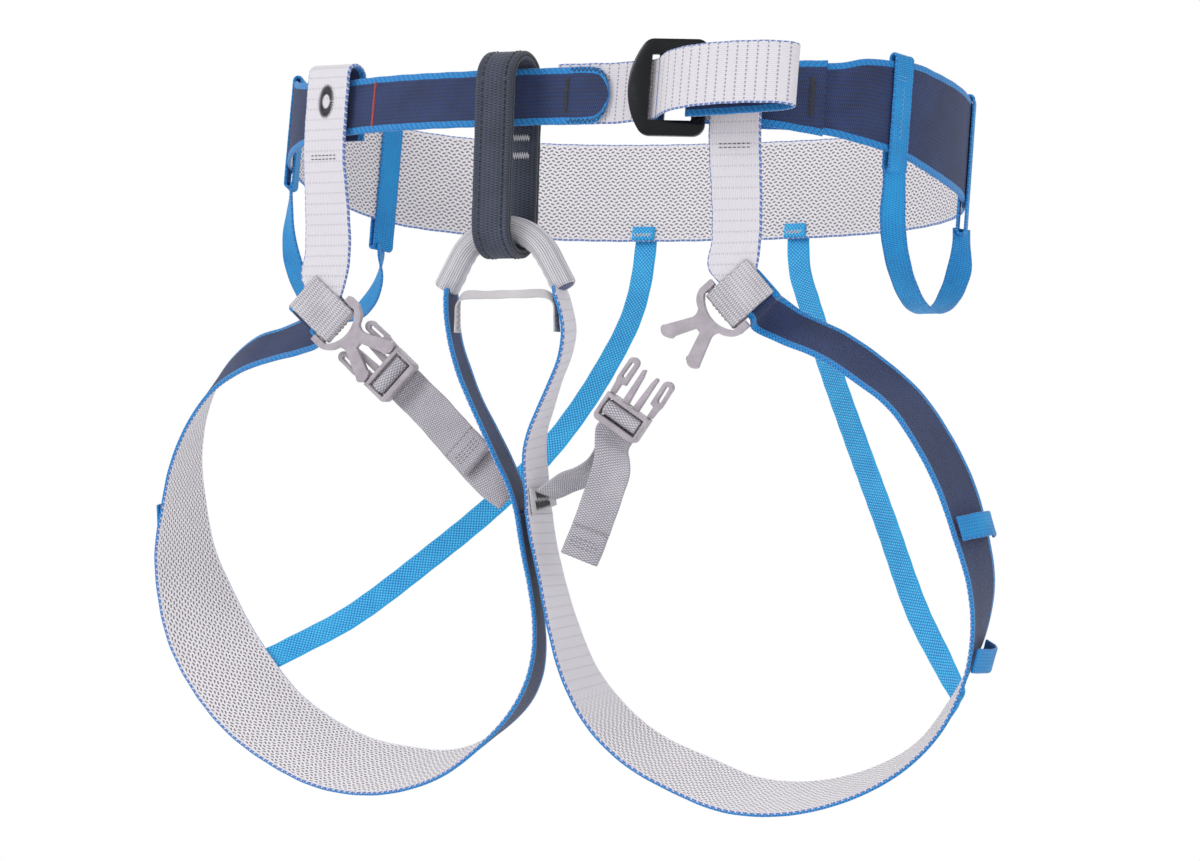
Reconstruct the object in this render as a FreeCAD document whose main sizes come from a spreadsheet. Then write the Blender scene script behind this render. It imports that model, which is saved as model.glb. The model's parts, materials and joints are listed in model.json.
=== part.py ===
"""Climbing harness with open leg loops, as separate sewn and moulded pieces. Millimetres.

Row frame: +Z up, +Y towards the wearer's back and +X to the right as the front is seen, which
is the wearer's left. Left and right in the names below are as seen from the front. The origin
is the centre of the waist opening, and the wearer faces -Y.

The waist ring is drawn flat, in its own plane, and then tilted about X by its Placement, so that
its front stands higher than its back. A webbing is a thin solid lofted through stations, each a
middle point and a width vector that runs from its front edge to its rear edge.
"""

import FreeCAD, Part
import math
import os

import Sketcher

V = FreeCAD.Vector
DOC = FreeCAD.newDocument("climbing_harness")
AXES = {"X": V(1, 0, 0), "Y": V(0, 1, 0), "Z": V(0, 0, 1)}

# ---------------------------------------------------------------- driving dimensions

DIMENSIONS = [
    ("waist_half_width", 174.0),
    ("waist_half_depth", 112.5),
    ("waist_roundness", 2.5),
    ("waist_tilt", 9.7),
    ("webbing_thick", 1.8),
    ("waist_front_width", 28.0),
    ("waist_strap_width", 30.0),
    ("strap_thick", 1.4),
    ("elastic_width", 12.5),
    ("elastic_thick", 1.5),
    ("riser_width", 26.0),
    ("belay_width", 20.0),
    ("belay_thick", 4.2),
    ("belay_bend", 15.5),
    ("sleeve_radius", 6.1),
    ("sleeve_bore", 4.7),
    ("core_radius", 4.2),
    ("arch_radius", 27.7),
    ("arch_leg", 17.0),
    ("frame_height", 47.0),
    ("frame_width", 38.6),
    ("frame_plate", 3.0),
    ("rear_height", 43.0),
    ("rear_width", 23.6),
    ("rear_plate", 1.7),
    ("buckle_bar_radius", 2.1),
    ("anchor_length", 23.0),
    ("anchor_width", 20.5),
    ("anchor_bend", 3.9),
    ("anchor_thick", 1.3),
    ("hook_plate", 4.0),
    ("hook_catch_depth", 4.2),
    ("latch_depth", 7.6),
    ("latch_width", 24.6),
    ("latch_length", 14.3),
    ("tab_depth", 3.9),
    ("latch_bar", 3.8),
    ("strip_bend", 2.6),
    ("strip_thick", 1.2),
    ("tack_height", 0.6),
    ("hem_thick", 3.6),
    ("strap_width", 20.0),
    ("screw_loop_width", 12.0),
]

SHEET = DOC.addObject("Spreadsheet::Sheet", "dims")
for row, (alias, value) in enumerate(DIMENSIONS, start=1):
    SHEET.set(f"A{row}", alias)
    SHEET.set(f"B{row}", str(value))
    SHEET.setAlias(f"B{row}", alias)
DOC.recompute()


def dim(alias):
    return float(SHEET.get(alias))


NODES = []


def keep(obj, label, placement=None):
    """Registers a finished sub-part under its node name."""
    obj.Label = label
    if placement is not None:
        obj.Placement = placement
    NODES.append(obj)
    return obj


# ---------------------------------------------------------------- the waist ring's plane

TILT = FreeCAD.Placement(V(0, 0, 0), FreeCAD.Rotation(AXES["X"], -dim("waist_tilt")))


def ring_point(angle):
    """The waist ring's middle line, flat. 0 is the front centre, 90 the +X hip, 180 the back."""
    power = 2.0 / dim("waist_roundness")
    side = math.sin(math.radians(angle))
    front = math.cos(math.radians(angle))
    x = dim("waist_half_width") * math.copysign(abs(side) ** power, side)
    y = -dim("waist_half_depth") * math.copysign(abs(front) ** power, front)
    return V(x, y, 0)


def ring_outward(angle):
    ahead = ring_point(angle + 0.5) - ring_point(angle - 0.5)
    return V(ahead.y, -ahead.x, 0).normalize()


def ring_angle(x):
    """The angle, on the front half, of the ring's point at this x."""
    ratio = abs(x) / dim("waist_half_width")
    return math.copysign(math.degrees(math.asin(ratio ** (dim("waist_roundness") / 2.0))), x)


def off_ring(x, offset, lift=0.0):
    """A point beside the front of the ring, moved outward by offset and up by lift."""
    angle = ring_angle(x)
    return ring_point(angle) + ring_outward(angle) * offset + V(0, 0, lift)


# ---------------------------------------------------------------- webbing


STEP_LENGTH = 6.0


def between(a, b, c, d, share):
    """The point at a share of the way from b to c on a curve that passes through all four."""
    knots = [0.0]
    for low, high in ((a, b), (b, c), (c, d)):
        knots.append(knots[-1] + max((high - low).Length, 1e-6) ** 0.5)
    t = knots[1] + (knots[2] - knots[1]) * share

    def mix(p, q, low, high):
        return p * ((high - t) / (high - low)) + q * ((t - low) / (high - low))

    first = mix(a, b, knots[0], knots[1])
    second = mix(b, c, knots[1], knots[2])
    third = mix(c, d, knots[2], knots[3])
    left = mix(first, second, knots[0], knots[2])
    right = mix(second, third, knots[1], knots[3])
    return mix(left, right, knots[1], knots[2])


def refined(stations):
    """Adds stations between the given ones, on a smooth curve, about every STEP_LENGTH."""
    points = [station[0] for station in stations]
    padded = [points[0] * 2 - points[1]] + points + [points[-1] * 2 - points[-2]]
    result = []
    for index in range(len(stations) - 1):
        width, next_width = stations[index][1], stations[index + 1][1]
        count = max(1, round((points[index + 1] - points[index]).Length / STEP_LENGTH))
        for step in range(count):
            share = step / count
            point = between(*padded[index:index + 4], share)
            result.append((point, width * (1.0 - share) + next_width * share))
    result.append(stations[-1])
    return result


def webbing(stations, thickness):
    """A thin solid through stations of (middle point, width vector)."""
    stations = refined(stations)
    sections = []
    last = len(stations) - 1
    for index, (middle, width) in enumerate(stations):
        before = stations[max(index - 1, 0)][0]
        after = stations[min(index + 1, last)][0]
        face = (after - before).cross(width).normalize() * (thickness / 2.0)
        half = width * 0.5
        corners = [middle - half - face, middle + half - face]
        corners += [middle + half + face, middle - half + face]
        sections.append(Part.makePolygon(corners + corners[:1]))
    return Part.makeLoft(sections, True, True)


def keep_shape(label, shape, placement=None):
    obj = DOC.addObject("Part::Feature", label)
    obj.Shape = shape
    return keep(obj, label, placement or FreeCAD.Placement())


def from_edges(edge_and_width):
    """Stations from (front edge point, width vector) pairs written as six numbers."""
    stations = []
    for x, y, z, wide_x, wide_y, wide_z in edge_and_width:
        width = V(wide_x, wide_y, wide_z)
        stations.append((V(x, y, z) + width * 0.5, width))
    return stations


# ---------------------------------------------------------------- waist webbing

# (angle from the front centre, width, rise of the middle line)
WAIST_PROFILE = [
    (0, 28.0, 0.0),
    (32, 28.0, 1.0),
    (50, 33.0, 3.0),
    (65, 42.0, 5.5),
    (78, 48.0, 6.0),
    (92, 51.5, 4.0),
    (115, 52.0, 1.5),
    (180, 52.0, 2.0),
]


def waist_profile(angle):
    """Width and rise of the waist webbing at an angle, the same on both sides."""
    turn = abs((angle + 180.0) % 360.0 - 180.0)
    for (low, w_low, r_low), (high, w_high, r_high) in zip(WAIST_PROFILE, WAIST_PROFILE[1:]):
        if turn <= high:
            share = (turn - low) / (high - low)
            share = share * share * (3.0 - 2.0 * share)
            return w_low + (w_high - w_low) * share, r_low + (r_high - r_low) * share
    return WAIST_PROFILE[-1][1:]


TIP_X = 40.0
TIP_ROUND = 9.0
BUCKLE_X = 83.0
BUCKLE_YAW = 13.0
BUCKLE_ORIGIN = V(BUCKLE_X, -110.2, 2.0)
REAR_BAR_X = 13.0
REAR_BAR_N = -3.75
WRAP_RADIUS = 2.6


def buckle_point(along, outward, up=0.0):
    """A point of the waist buckle's own axes in the flat ring frame."""
    yaw = math.radians(BUCKLE_YAW)
    x_axis = V(math.cos(yaw), math.sin(yaw), 0)
    out_axis = V(math.sin(yaw), -math.cos(yaw), 0)
    return BUCKLE_ORIGIN + x_axis * along + out_axis * outward + V(0, 0, up)


# The layer folded back inside the buckle: (place across the front, out from the ring, width).
FOLDED_BACK = [(102.4, 3.1, 28), (110, 1.7, 28.5), (122, 1.9, 30), (134, 2.2, 34), (145, 2.2, 37)]


def waist_stations():
    """From the rounded tip, round the left hip, the back and the right hip, to the buckle's
    rear bar, round that bar and back along the outside to the end of the fold."""
    up = AXES["Z"]
    stations = []
    for step in range(6):
        swing = math.radians(84 - 14 * step)
        middle = off_ring(TIP_X + TIP_ROUND * math.sin(swing), 0.3)
        stations.append((middle, up * (dim("waist_front_width") * math.cos(swing))))
    angle = ring_angle(TIP_X) - 6.0
    end_angle = ring_angle(124.0) - 360.0
    while angle > end_angle:
        width, rise = waist_profile(angle)
        stations.append((ring_point(angle) + V(0, 0, rise), up * width))
        angle -= 7.5
    front = up * dim("waist_front_width")
    for x, offset, wide in ((119, -0.6, 30), (111, -1.2, 28.5), (104, -1.6, 28)):
        stations.append((off_ring(x, offset, 1.0), up * wide))
    for step in range(7):
        swing = math.radians(30 * step)
        along = REAR_BAR_X - WRAP_RADIUS * math.sin(swing)
        outward = REAR_BAR_N - WRAP_RADIUS * math.cos(swing)
        stations.append((buckle_point(along, outward, -1.0), front))
    for x, offset, wide in FOLDED_BACK:
        width, rise = waist_profile(ring_angle(x))
        stations.append((off_ring(x, offset, rise), up * wide))
    return stations


keep_shape("waist_webbing", webbing(waist_stations(), dim("webbing_thick")), TILT)

# The front strap runs from under the webbing's tip, behind the buckle's left bar, out through
# its slot. The tail is the same strap, turned back on itself outside the belt.
# (x, offset from the ring's middle line)
STRAP_RUN = [(20, -2.3), (32, -2.3), (44, -2.2), (50.5, -1.9), (57, 0.0), (63, 2.2)]
SLOT_RUN = [(70.4, -111.4), (74.6, -113.0), (78.0, -116.2)]
STRAP_RISE = 1.4
TAIL_RUN = [
    (78.9, -117.3, 1.5),
    (81.8, -120.4, 1.8),
    (86.3, -124.2, 2.2),
    (93.3, -127.9, 2.6),
    (105.0, -131.6, 3.0),
    (120.0, -133.8, 3.2),
    (136.0, -134.0, 3.2),
    (147.5, -132.6, 3.0),
    (153.2, -129.8, 2.8),
    (155.0, -126.6, 2.6),
    (153.2, -123.6, 2.4),
    (147.0, -121.4, 2.2),
    (134.0, -119.8, 2.0),
    (120.0, -118.8, 1.8),
    (105.0, -117.8, 1.6),
    (94.0, -117.4, 1.5),
]


def waist_strap_stations():
    wide = V(0, 0, dim("waist_strap_width"))
    stations = [(off_ring(x, offset, STRAP_RISE), wide) for x, offset in STRAP_RUN]
    stations += [(V(x, y, STRAP_RISE), wide) for x, y in SLOT_RUN]
    return stations


def tail_stations():
    wide = V(0, 0, dim("waist_strap_width"))
    return [(V(x, y, z), wide) for x, y, z in TAIL_RUN]


keep_shape("waist_strap", webbing(waist_strap_stations(), dim("strap_thick")), TILT)
keep_shape("waist_strap_tail", webbing(tail_stations(), dim("strap_thick")), TILT)

# ---------------------------------------------------------------- PartDesign helpers


def new_body(name):
    return DOC.addObject("PartDesign::Body", name)


def plane(body, role):
    return [f for f in body.Origin.OriginFeatures if f.Role == role][0]


def new_sketch(body, role, name, lift=0.0):
    sketch = body.newObject("Sketcher::SketchObject", name)
    sketch.AttachmentSupport = [(plane(body, role), "")]
    sketch.MapMode = "FlatFace"
    sketch.AttachmentOffset = FreeCAD.Placement(V(0, 0, lift), FreeCAD.Rotation())
    return sketch


def add_outline(sketch, points):
    """Closed outline of straight lines. A point written (x, y, 'arc', mx, my) is reached by an
    arc through (mx, my). A sketch keeps every arc anticlockwise, so a clockwise one is joined
    by its ends in the other order."""
    count = len(points)
    ends = []
    for index in range(count):
        start = V(points[index][0], points[index][1], 0)
        target = points[(index + 1) % count]
        end = V(target[0], target[1], 0)
        ends.append((1, 2))
        if len(target) == 5:
            middle = V(target[3], target[4], 0)
            sketch.addGeometry(Part.Arc(start, middle, end), False)
            if (middle - start).cross(end - middle).z < 0:
                ends[-1] = (2, 1)
        else:
            sketch.addGeometry(Part.LineSegment(start, end), False)
    for index in range(count):
        following = (index + 1) % count
        joint = (index, ends[index][1], following, ends[following][0])
        sketch.addConstraint(Sketcher.Constraint("Coincident", *joint))


def add_rectangle(sketch, width_alias, height_alias, centre=(0.0, 0.0)):
    """A rectangle whose width and height follow the sheet, centred on a fixed point."""
    first = sketch.GeometryCount
    half_w = dim(width_alias) / 2.0
    half_h = dim(height_alias) / 2.0
    left, right = centre[0] - half_w, centre[0] + half_w
    low, high = centre[1] - half_h, centre[1] + half_h
    corners = [V(left, low, 0), V(right, low, 0), V(right, high, 0), V(left, high, 0)]
    for index in range(4):
        sketch.addGeometry(Part.LineSegment(corners[index], corners[(index + 1) % 4]), False)
    for index in range(4):
        pair = (first + index, 2, first + (index + 1) % 4, 1)
        sketch.addConstraint(Sketcher.Constraint("Coincident", *pair))
    for index, kind in enumerate(("Horizontal", "Vertical", "Horizontal", "Vertical")):
        sketch.addConstraint(Sketcher.Constraint(kind, first + index))
    wide = sketch.addConstraint(Sketcher.Constraint("DistanceX", first, 1, first, 2, 2 * half_w))
    tall = sketch.addConstraint(Sketcher.Constraint("DistanceY", first + 1, 1, first + 1, 2, 2 * half_h))
    sketch.addConstraint(Sketcher.Constraint("DistanceX", -1, 1, first, 1, left))
    sketch.addConstraint(Sketcher.Constraint("DistanceY", -1, 1, first, 1, low))
    sketch.setExpression(f"Constraints[{wide}]", f"dims.{width_alias}")
    sketch.setExpression(f"Constraints[{tall}]", f"dims.{height_alias}")


def pad(body, sketch, name, length, midplane=False, reverse=False):
    """Pads a sketch. length is a sheet alias or an expression of aliases."""
    feature = body.newObject("PartDesign::Pad", name)
    feature.Profile = sketch
    feature.Midplane = midplane
    feature.Reversed = reverse
    feature.setExpression("Length", length)
    DOC.recompute()
    return feature


def pocket(body, sketch, name, reverse=False):
    """Cuts a sketch right through the body and checks that it removed something."""
    before = body.Shape.Volume
    feature = body.newObject("PartDesign::Pocket", name)
    feature.Profile = sketch
    feature.Type = "ThroughAll"
    feature.Midplane = True
    feature.Reversed = reverse
    DOC.recompute()
    if body.Shape.Volume >= before - 1e-6:
        raise RuntimeError(f"{name} cut nothing")
    return feature


def round_edges(body, name, radius, chosen):
    """Fillets the edges that chosen(edge) picks on the body's present shape."""
    base = body.Tip
    names = [f"Edge{i + 1}" for i, edge in enumerate(base.Shape.Edges) if chosen(edge)]
    feature = body.newObject("PartDesign::Fillet", name)
    feature.Base = (base, names)
    feature.Radius = radius
    DOC.recompute()
    return feature


def local_frame(origin, x_axis, z_axis, turn=0.0):
    """A placement with its own X and Z directions, turned about its Y by turn degrees."""
    y_axis = z_axis.cross(x_axis)
    rotation = FreeCAD.Rotation(x_axis, y_axis, z_axis, "XZY")
    return FreeCAD.Placement(origin, rotation * FreeCAD.Rotation(AXES["Y"], turn))


# ---------------------------------------------------------------- waist buckle


def buckle_placement(up):
    """The waist buckle's plates lie in their local XY plane, with local Z outward."""
    yaw = math.radians(BUCKLE_YAW)
    x_axis = V(math.cos(yaw), math.sin(yaw), 0)
    out_axis = V(math.sin(yaw), -math.cos(yaw), 0)
    return TILT * local_frame(BUCKLE_ORIGIN + V(0, 0, up), x_axis, out_axis)


def waist_buckle_front():
    body = new_body("front_frame_body")
    half_h = dim("frame_height") / 2.0
    left = -21.5
    right = left + dim("frame_width")
    corner = 6.0
    bulge = 8.5
    outline = new_sketch(body, "XY_Plane", "front_outline", 1.5)
    add_outline(outline, [
        (left + bulge, half_h),
        (left + bulge, -half_h, "arc", left, 0.0),
        (right, -half_h),
        (right, half_h),
    ])
    pad(body, outline, "front_plate", "dims.frame_plate")
    round_edges(body, "front_corners", corner, lambda e: e.BoundBox.ZLength > 1.0)
    slot = new_sketch(body, "XY_Plane", "front_slot")
    add_outline(slot, [(-11.0, -16.0), (10.5, -16.0), (10.5, 16.0), (-11.0, 16.0)])
    pocket(body, slot, "front_slot_cut")
    return keep(body, "waist_buckle_front_frame", buckle_placement(0.0))


def waist_buckle_rear():
    body = new_body("rear_frame_body")
    centre = (2.8, 0.0)
    outline = new_sketch(body, "XY_Plane", "rear_outline", REAR_BAR_N - dim("rear_plate") / 2.0)
    add_rectangle(outline, "rear_width", "rear_height", centre)
    pad(body, outline, "rear_plate_pad", "dims.rear_plate")
    window = new_sketch(body, "XY_Plane", "rear_window")
    add_outline(window, [(-4.6, -16.5), (11.6, -16.5), (11.6, 16.5), (-4.6, 16.5)])
    pocket(body, window, "rear_window_cut")
    round_edges(body, "rear_corners", 5.0,
                lambda e: e.BoundBox.ZLength > 1.0 and abs(e.BoundBox.YMin) > 20.0)
    return keep(body, "waist_buckle_rear_frame", buckle_placement(0.0))


waist_buckle_front()
waist_buckle_rear()

# ---------------------------------------------------------------- leg buckle axes

# In each leg buckle's own axes +X runs from the hook's bar towards the latch, +Y along the bar
# and +Z outward.
FACING = math.radians(12.0)
ACROSS = V(math.cos(FACING), math.sin(FACING), 0)
OUTWARD = V(math.sin(FACING), -math.cos(FACING), 0)


def in_face(degrees):
    """A direction in the leg buckles' plane, measured up from level."""
    angle = math.radians(degrees)
    return ACROSS * math.cos(angle) + AXES["Z"] * math.sin(angle)


LEFT_BAR = V(-103.6, -106.6, -88.0)
LEFT_BUCKLE = local_frame(LEFT_BAR, in_face(-43.0), OUTWARD)
RIGHT_BAR = V(108.6, -104.6, -83.0)
RIGHT_HOOK = local_frame(RIGHT_BAR, in_face(-139.5), OUTWARD)
LATCH_FAR = 45.6
RIGHT_LATCH_DIRECTION = in_face(-124.5)
RIGHT_LATCH = local_frame(V(51.6, -110.0, -141.0) - RIGHT_LATCH_DIRECTION * LATCH_FAR,
                          RIGHT_LATCH_DIRECTION, OUTWARD)

# ---------------------------------------------------------------- risers

LEFT, RIGHT = -1, 1


def riser_path(side):
    """Up behind the waist webbing, over its top edge and down its front, which leans forward.
    Rows of (y, z)."""
    if side == LEFT:
        behind = [(-86.6, 2.0), (-85.2, 16.0), (-83.6, 29.0)]
        over = [(-86.2, 36.4), (-92.5, 38.8), (-98.8, 36.6)]
        front = [(-101.0, 27.0), (-103.0, 13.0), (-104.3, 2.0), (-104.6, -8.0)]
        return behind + over + front + [(-104.4, -32.0), (-105.4, -52.0)]
    behind = [(-84.6, 2.0), (-83.2, 16.0), (-81.6, 29.0)]
    over = [(-84.4, 36.6), (-91.5, 39.0), (-99.2, 37.0)]
    front = [(-101.9, 27.0), (-104.1, 13.0), (-105.4, 2.0), (-105.4, -8.0)]
    return behind + over + front + [(-103.6, -32.0), (-103.8, -50.0)]


RISER_X = {LEFT: (-112.0, -109.6), RIGHT: (113.9, 113.9)}
RISER_SKEW = 8.0
LOWER_FRONT_Z = -8.0


def riser(side, name, buckle, fold):
    """A riser. fold gives its last stations in the leg buckle's axes: (x, y, z, width)."""
    wide = dim("riser_width")
    turn = math.radians(RISER_SKEW * side)
    top_x, low_x = RISER_X[side]
    stations = []
    for y, z in riser_path(side):
        drop = min(max((LOWER_FRONT_Z - z) / 40.0, 0.0), 1.0) if y < -100.0 else 0.0
        swing = turn * (1.0 - drop)
        width = V(math.cos(swing), math.sin(swing), 0) * wide
        stations.append((V(top_x + (low_x - top_x) * drop, y, z), width))
    level = buckle.Rotation.inverted().multVec(V(1, 0, 0))
    level = V(level.x, level.y, 0).normalize()
    for x, y, z, width in fold:
        across = buckle.Rotation.multVec(level * width)
        stations.append((buckle.multVec(V(x, y, z)), across))
    return keep_shape(name, webbing(stations, dim("webbing_thick")))


riser(LEFT, "riser_left", LEFT_BUCKLE, [(-19.6, 11.8, 1.2, 24.0), (-12.6, 4.9, 1.2, 17.0)])
riser(RIGHT, "riser_right", RIGHT_HOOK, [(-14.6, -11.4, 1.2, 24.0), (-11.4, -4.2, 1.2, 16.0)])

# ---------------------------------------------------------------- leg loops

LEFT_LEG = [
    (-118.0, -100.5, -99.6, -9.0, 12.0, 20.0),
    (-130.0, -97.0, -103.0, -7.0, 19.0, 19.5),
    (-153.0, -91.5, -107.0, -3.0, 23.0, 18.0),
    (-171.0, -89.0, -112.0, -5.0, 25.0, 18.0),
    (-190.0, -86.0, -122.0, -8.0, 29.0, 14.0),
    (-205.0, -84.0, -138.0, -9.0, 34.0, 10.0),
    (-216.0, -83.0, -159.0, -7.0, 40.0, 5.0),
    (-222.0, -82.0, -180.0, -1.0, 43.0, 2.0),
    (-226.0, -82.0, -203.0, 8.0, 44.0, 1.0),
    (-224.0, -82.0, -227.0, 17.0, 44.0, 4.0),
    (-217.0, -83.0, -249.0, 21.0, 43.0, 10.0),
    (-203.0, -85.0, -270.0, 21.0, 42.0, 15.0),
    (-181.0, -88.0, -291.0, 18.0, 43.0, 17.0),
    (-153.0, -91.0, -307.0, 14.0, 44.0, 19.0),
    (-124.0, -95.0, -317.0, 9.0, 44.0, 21.0),
    (-97.0, -97.0, -320.0, 4.0, 43.0, 21.0),
    (-71.0, -100.0, -317.0, 1.0, 42.0, 17.0),
    (-47.0, -103.0, -309.0, -3.0, 41.0, 13.0),
    (-24.0, -106.0, -294.0, -4.0, 39.0, 10.0),
    (-8.0, -107.0, -279.0, -6.0, 36.0, 7.0),
    (2.0, -108.0, -264.0, -8.0, 33.0, 5.0),
    (6.6, -108.0, -249.0, -9.5, 30.0, 3.0),
    (7.2, -108.0, -233.0, -10.0, 28.0, 2.0),
    (4.6, -108.0, -216.0, -8.0, 27.0, 1.0),
    (0.8, -108.5, -199.0, -4.5, 26.0, 0.0),
    (-2.4, -109.0, -181.0, -2.0, 26.0, 0.0),
]

RIGHT_LEG = [
    (119.0, -97.4, -93.5, 9.0, 14.0, 16.0),
    (130.0, -94.5, -99.0, 4.0, 22.0, 14.0),
    (150.0, -91.0, -107.0, 3.0, 26.0, 12.0),
    (168.0, -89.0, -118.0, 3.0, 29.0, 10.0),
    (184.0, -87.0, -130.0, 2.0, 34.0, 7.0),
    (197.0, -86.0, -147.0, 2.0, 38.0, 4.0),
    (208.0, -84.0, -168.0, 1.0, 41.0, 2.0),
    (216.0, -83.0, -190.0, -2.0, 44.0, 1.0),
    (223.0, -82.0, -213.0, -7.0, 46.0, 0.0),
    (225.0, -82.0, -236.0, -13.0, 46.0, 1.0),
    (221.0, -83.0, -259.0, -17.0, 46.0, 5.0),
    (210.0, -84.0, -281.0, -17.0, 46.0, 9.0),
    (191.0, -86.0, -300.0, -13.0, 47.0, 10.0),
    (165.0, -89.0, -314.0, -10.0, 48.0, 11.0),
    (134.0, -93.0, -322.0, -8.0, 48.0, 12.0),
    (104.0, -97.0, -321.5, -4.0, 46.0, 13.0),
    (76.0, -100.0, -312.0, 0.0, 43.0, 13.0),
    (52.0, -103.0, -299.0, 2.0, 40.0, 10.0),
    (34.0, -105.0, -282.0, 4.0, 37.0, 6.0),
    (22.0, -107.0, -260.0, 2.0, 33.0, 3.0),
    (15.0, -108.0, -236.0, 0.0, 30.0, 2.0),
    (9.6, -108.0, -211.0, -1.5, 28.0, 0.0),
    (5.2, -108.5, -192.0, -1.0, 27.0, 0.0),
    (3.4, -109.0, -181.0, 0.0, 26.0, 0.0),
]

# Where a leg loop starts, between the two layers of its buckle anchor: (y along the bar, width).
FOLD_X = -14.4
FOLD_Z = -1.4


def fold_stations(buckle, rows):
    across = buckle.Rotation.multVec(V(-1, 0, 0))
    return [(buckle.multVec(V(FOLD_X, y, FOLD_Z)), across * width) for y, width in rows]


LEFT_FOLD = [(4.0, 18.0), (-5.0, 19.0), (-11.6, 19.0)]
RIGHT_FOLD = [(-y, width) for y, width in LEFT_FOLD]
LEFT_LEG_STATIONS = fold_stations(LEFT_BUCKLE, LEFT_FOLD) + from_edges(LEFT_LEG)
RIGHT_LEG_STATIONS = fold_stations(RIGHT_HOOK, RIGHT_FOLD) + from_edges(RIGHT_LEG)
keep_shape("leg_webbing_left", webbing(LEFT_LEG_STATIONS, dim("webbing_thick")))
keep_shape("leg_webbing_right", webbing(RIGHT_LEG_STATIONS, dim("webbing_thick")))

# ---------------------------------------------------------------- tie-in bridge

LEFT_BRIDGE = [
    (-3.6, -109.0, -176.5, -5.0, 24.5, 2.0),
    (-6.6, -110.0, -167.0, -6.0, 24.0, 3.0),
    (-11.5, -111.5, -156.5, -6.0, 24.0, 4.0),
    (-17.0, -113.5, -143.5, -6.0, 22.5, 4.0),
    (-23.0, -116.5, -128.5, -6.0, 21.5, 3.0),
    (-28.0, -119.5, -114.5, -5.0, 21.0, 3.0),
    (-31.0, -122.5, -100.0, -5.0, 20.5, 2.0),
    (-31.5, -126.0, -86.0, -4.0, 20.0, 1.0),
    (-30.6, -128.0, -76.0, -4.0, 19.5, 0.0),
]

RIGHT_BRIDGE = [
    (3.4, -109.0, -176.5, 0.0, 24.5, 0.0),
    (3.2, -110.5, -165.0, 0.0, 24.0, 2.0),
    (3.8, -112.5, -153.5, 0.0, 23.0, 3.0),
    (7.0, -114.5, -143.5, -1.0, 22.0, 3.0),
    (13.0, -116.5, -132.5, -2.0, 21.5, 3.0),
    (21.0, -119.0, -119.5, -4.0, 21.0, 3.0),
    (28.0, -121.5, -107.0, -4.0, 20.5, 3.0),
    (31.5, -124.0, -94.0, -4.0, 20.5, 2.0),
    (31.0, -126.5, -83.0, -4.0, 20.0, 1.0),
    (29.0, -128.0, -75.5, -3.0, 19.5, 0.0),
]

keep_shape("bridge_webbing_left", webbing(from_edges(LEFT_BRIDGE), dim("webbing_thick")))
keep_shape("bridge_webbing_right", webbing(from_edges(RIGHT_BRIDGE), dim("webbing_thick")))

ARCH_CENTRE = V(-2.6, -118.5, -72.0)
ARCH_HALF_ANGLE = 60.0


def arch_spine():
    """A straight leg, the arc over the top and the other straight leg, in an XZ plane."""
    radius = dim("arch_radius")
    leg = dim("arch_leg")
    swing = math.radians(ARCH_HALF_ANGLE)
    shoulder = V(radius * math.sin(swing), radius * math.cos(swing), 0)
    fall = V(math.cos(swing) * leg, -math.sin(swing) * leg, 0)
    sketch = DOC.addObject("Sketcher::SketchObject", "arch_spine")
    left_top = V(-shoulder.x, shoulder.y, 0)
    left_end = left_top + V(-fall.x, fall.y, 0)
    sketch.addGeometry(Part.LineSegment(left_end, left_top), False)
    sketch.addGeometry(Part.Arc(left_top, V(0, radius, 0), shoulder), False)
    sketch.addGeometry(Part.LineSegment(shoulder, shoulder + fall), False)
    sketch.addConstraint(Sketcher.Constraint("Coincident", 0, 2, 1, 2))
    sketch.addConstraint(Sketcher.Constraint("Coincident", 1, 1, 2, 1))
    sketch.Placement = FreeCAD.Placement(ARCH_CENTRE, FreeCAD.Rotation(AXES["X"], 90))
    return sketch, left_end, left_top


ARCH, ARCH_END, ARCH_TOP = arch_spine()


def arch_tube(name, radius_expression):
    """A round solid along the arch."""
    circle = DOC.addObject("Part::Circle", name + "_circle")
    circle.setExpression("Radius", radius_expression)
    start = ARCH.Placement.multVec(ARCH_END)
    ahead = ARCH.Placement.multVec(ARCH_TOP) - start
    circle.Placement = FreeCAD.Placement(start, FreeCAD.Rotation(AXES["Z"], ahead))
    sweep = DOC.addObject("Part::Sweep", name)
    sweep.Sections = [circle]
    sweep.Spine = (ARCH, [])
    sweep.Solid = True
    sweep.Frenet = False
    DOC.recompute()
    return sweep


outer_tube = arch_tube("sleeve_outer", "dims.sleeve_radius")
inner_tube = arch_tube("sleeve_inner", "dims.sleeve_bore")
sleeve = DOC.addObject("Part::Cut", "sleeve_cut")
sleeve.Base = outer_tube
sleeve.Tool = inner_tube
keep(sleeve, "tie_in_sleeve")
keep(arch_tube("bridge_core_sweep", "dims.core_radius"), "bridge_core")

KEEPER = [
    (-28.4, -122.5, -94.0, 0.0, 6.0, 0.0),
    (-28.0, -122.5, -86.0, 0.0, 5.0, 0.0),
    (-27.4, -122.5, -80.6, 0.0, 4.2, 2.0),
    (-24.0, -122.0, -78.4, 0.0, 0.6, 4.0),
    (-10.0, -122.0, -78.0, 0.0, 0.0, 4.0),
    (8.0, -122.0, -77.8, 0.0, 0.0, 4.0),
    (22.0, -122.0, -78.2, 0.0, 0.6, 4.0),
    (25.6, -122.5, -80.8, 0.0, 4.2, 2.0),
    (26.0, -122.5, -87.0, 0.0, 5.0, 0.0),
    (26.2, -122.5, -94.0, 0.0, 6.0, 0.0),
]
keep_shape("bridge_keeper", webbing(from_edges(KEEPER), 1.0))

# ---------------------------------------------------------------- belay loop

BELAY_TOP = (-114.5, 25.5)
BELAY_BOTTOM = (-119.0, -43.2)


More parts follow.
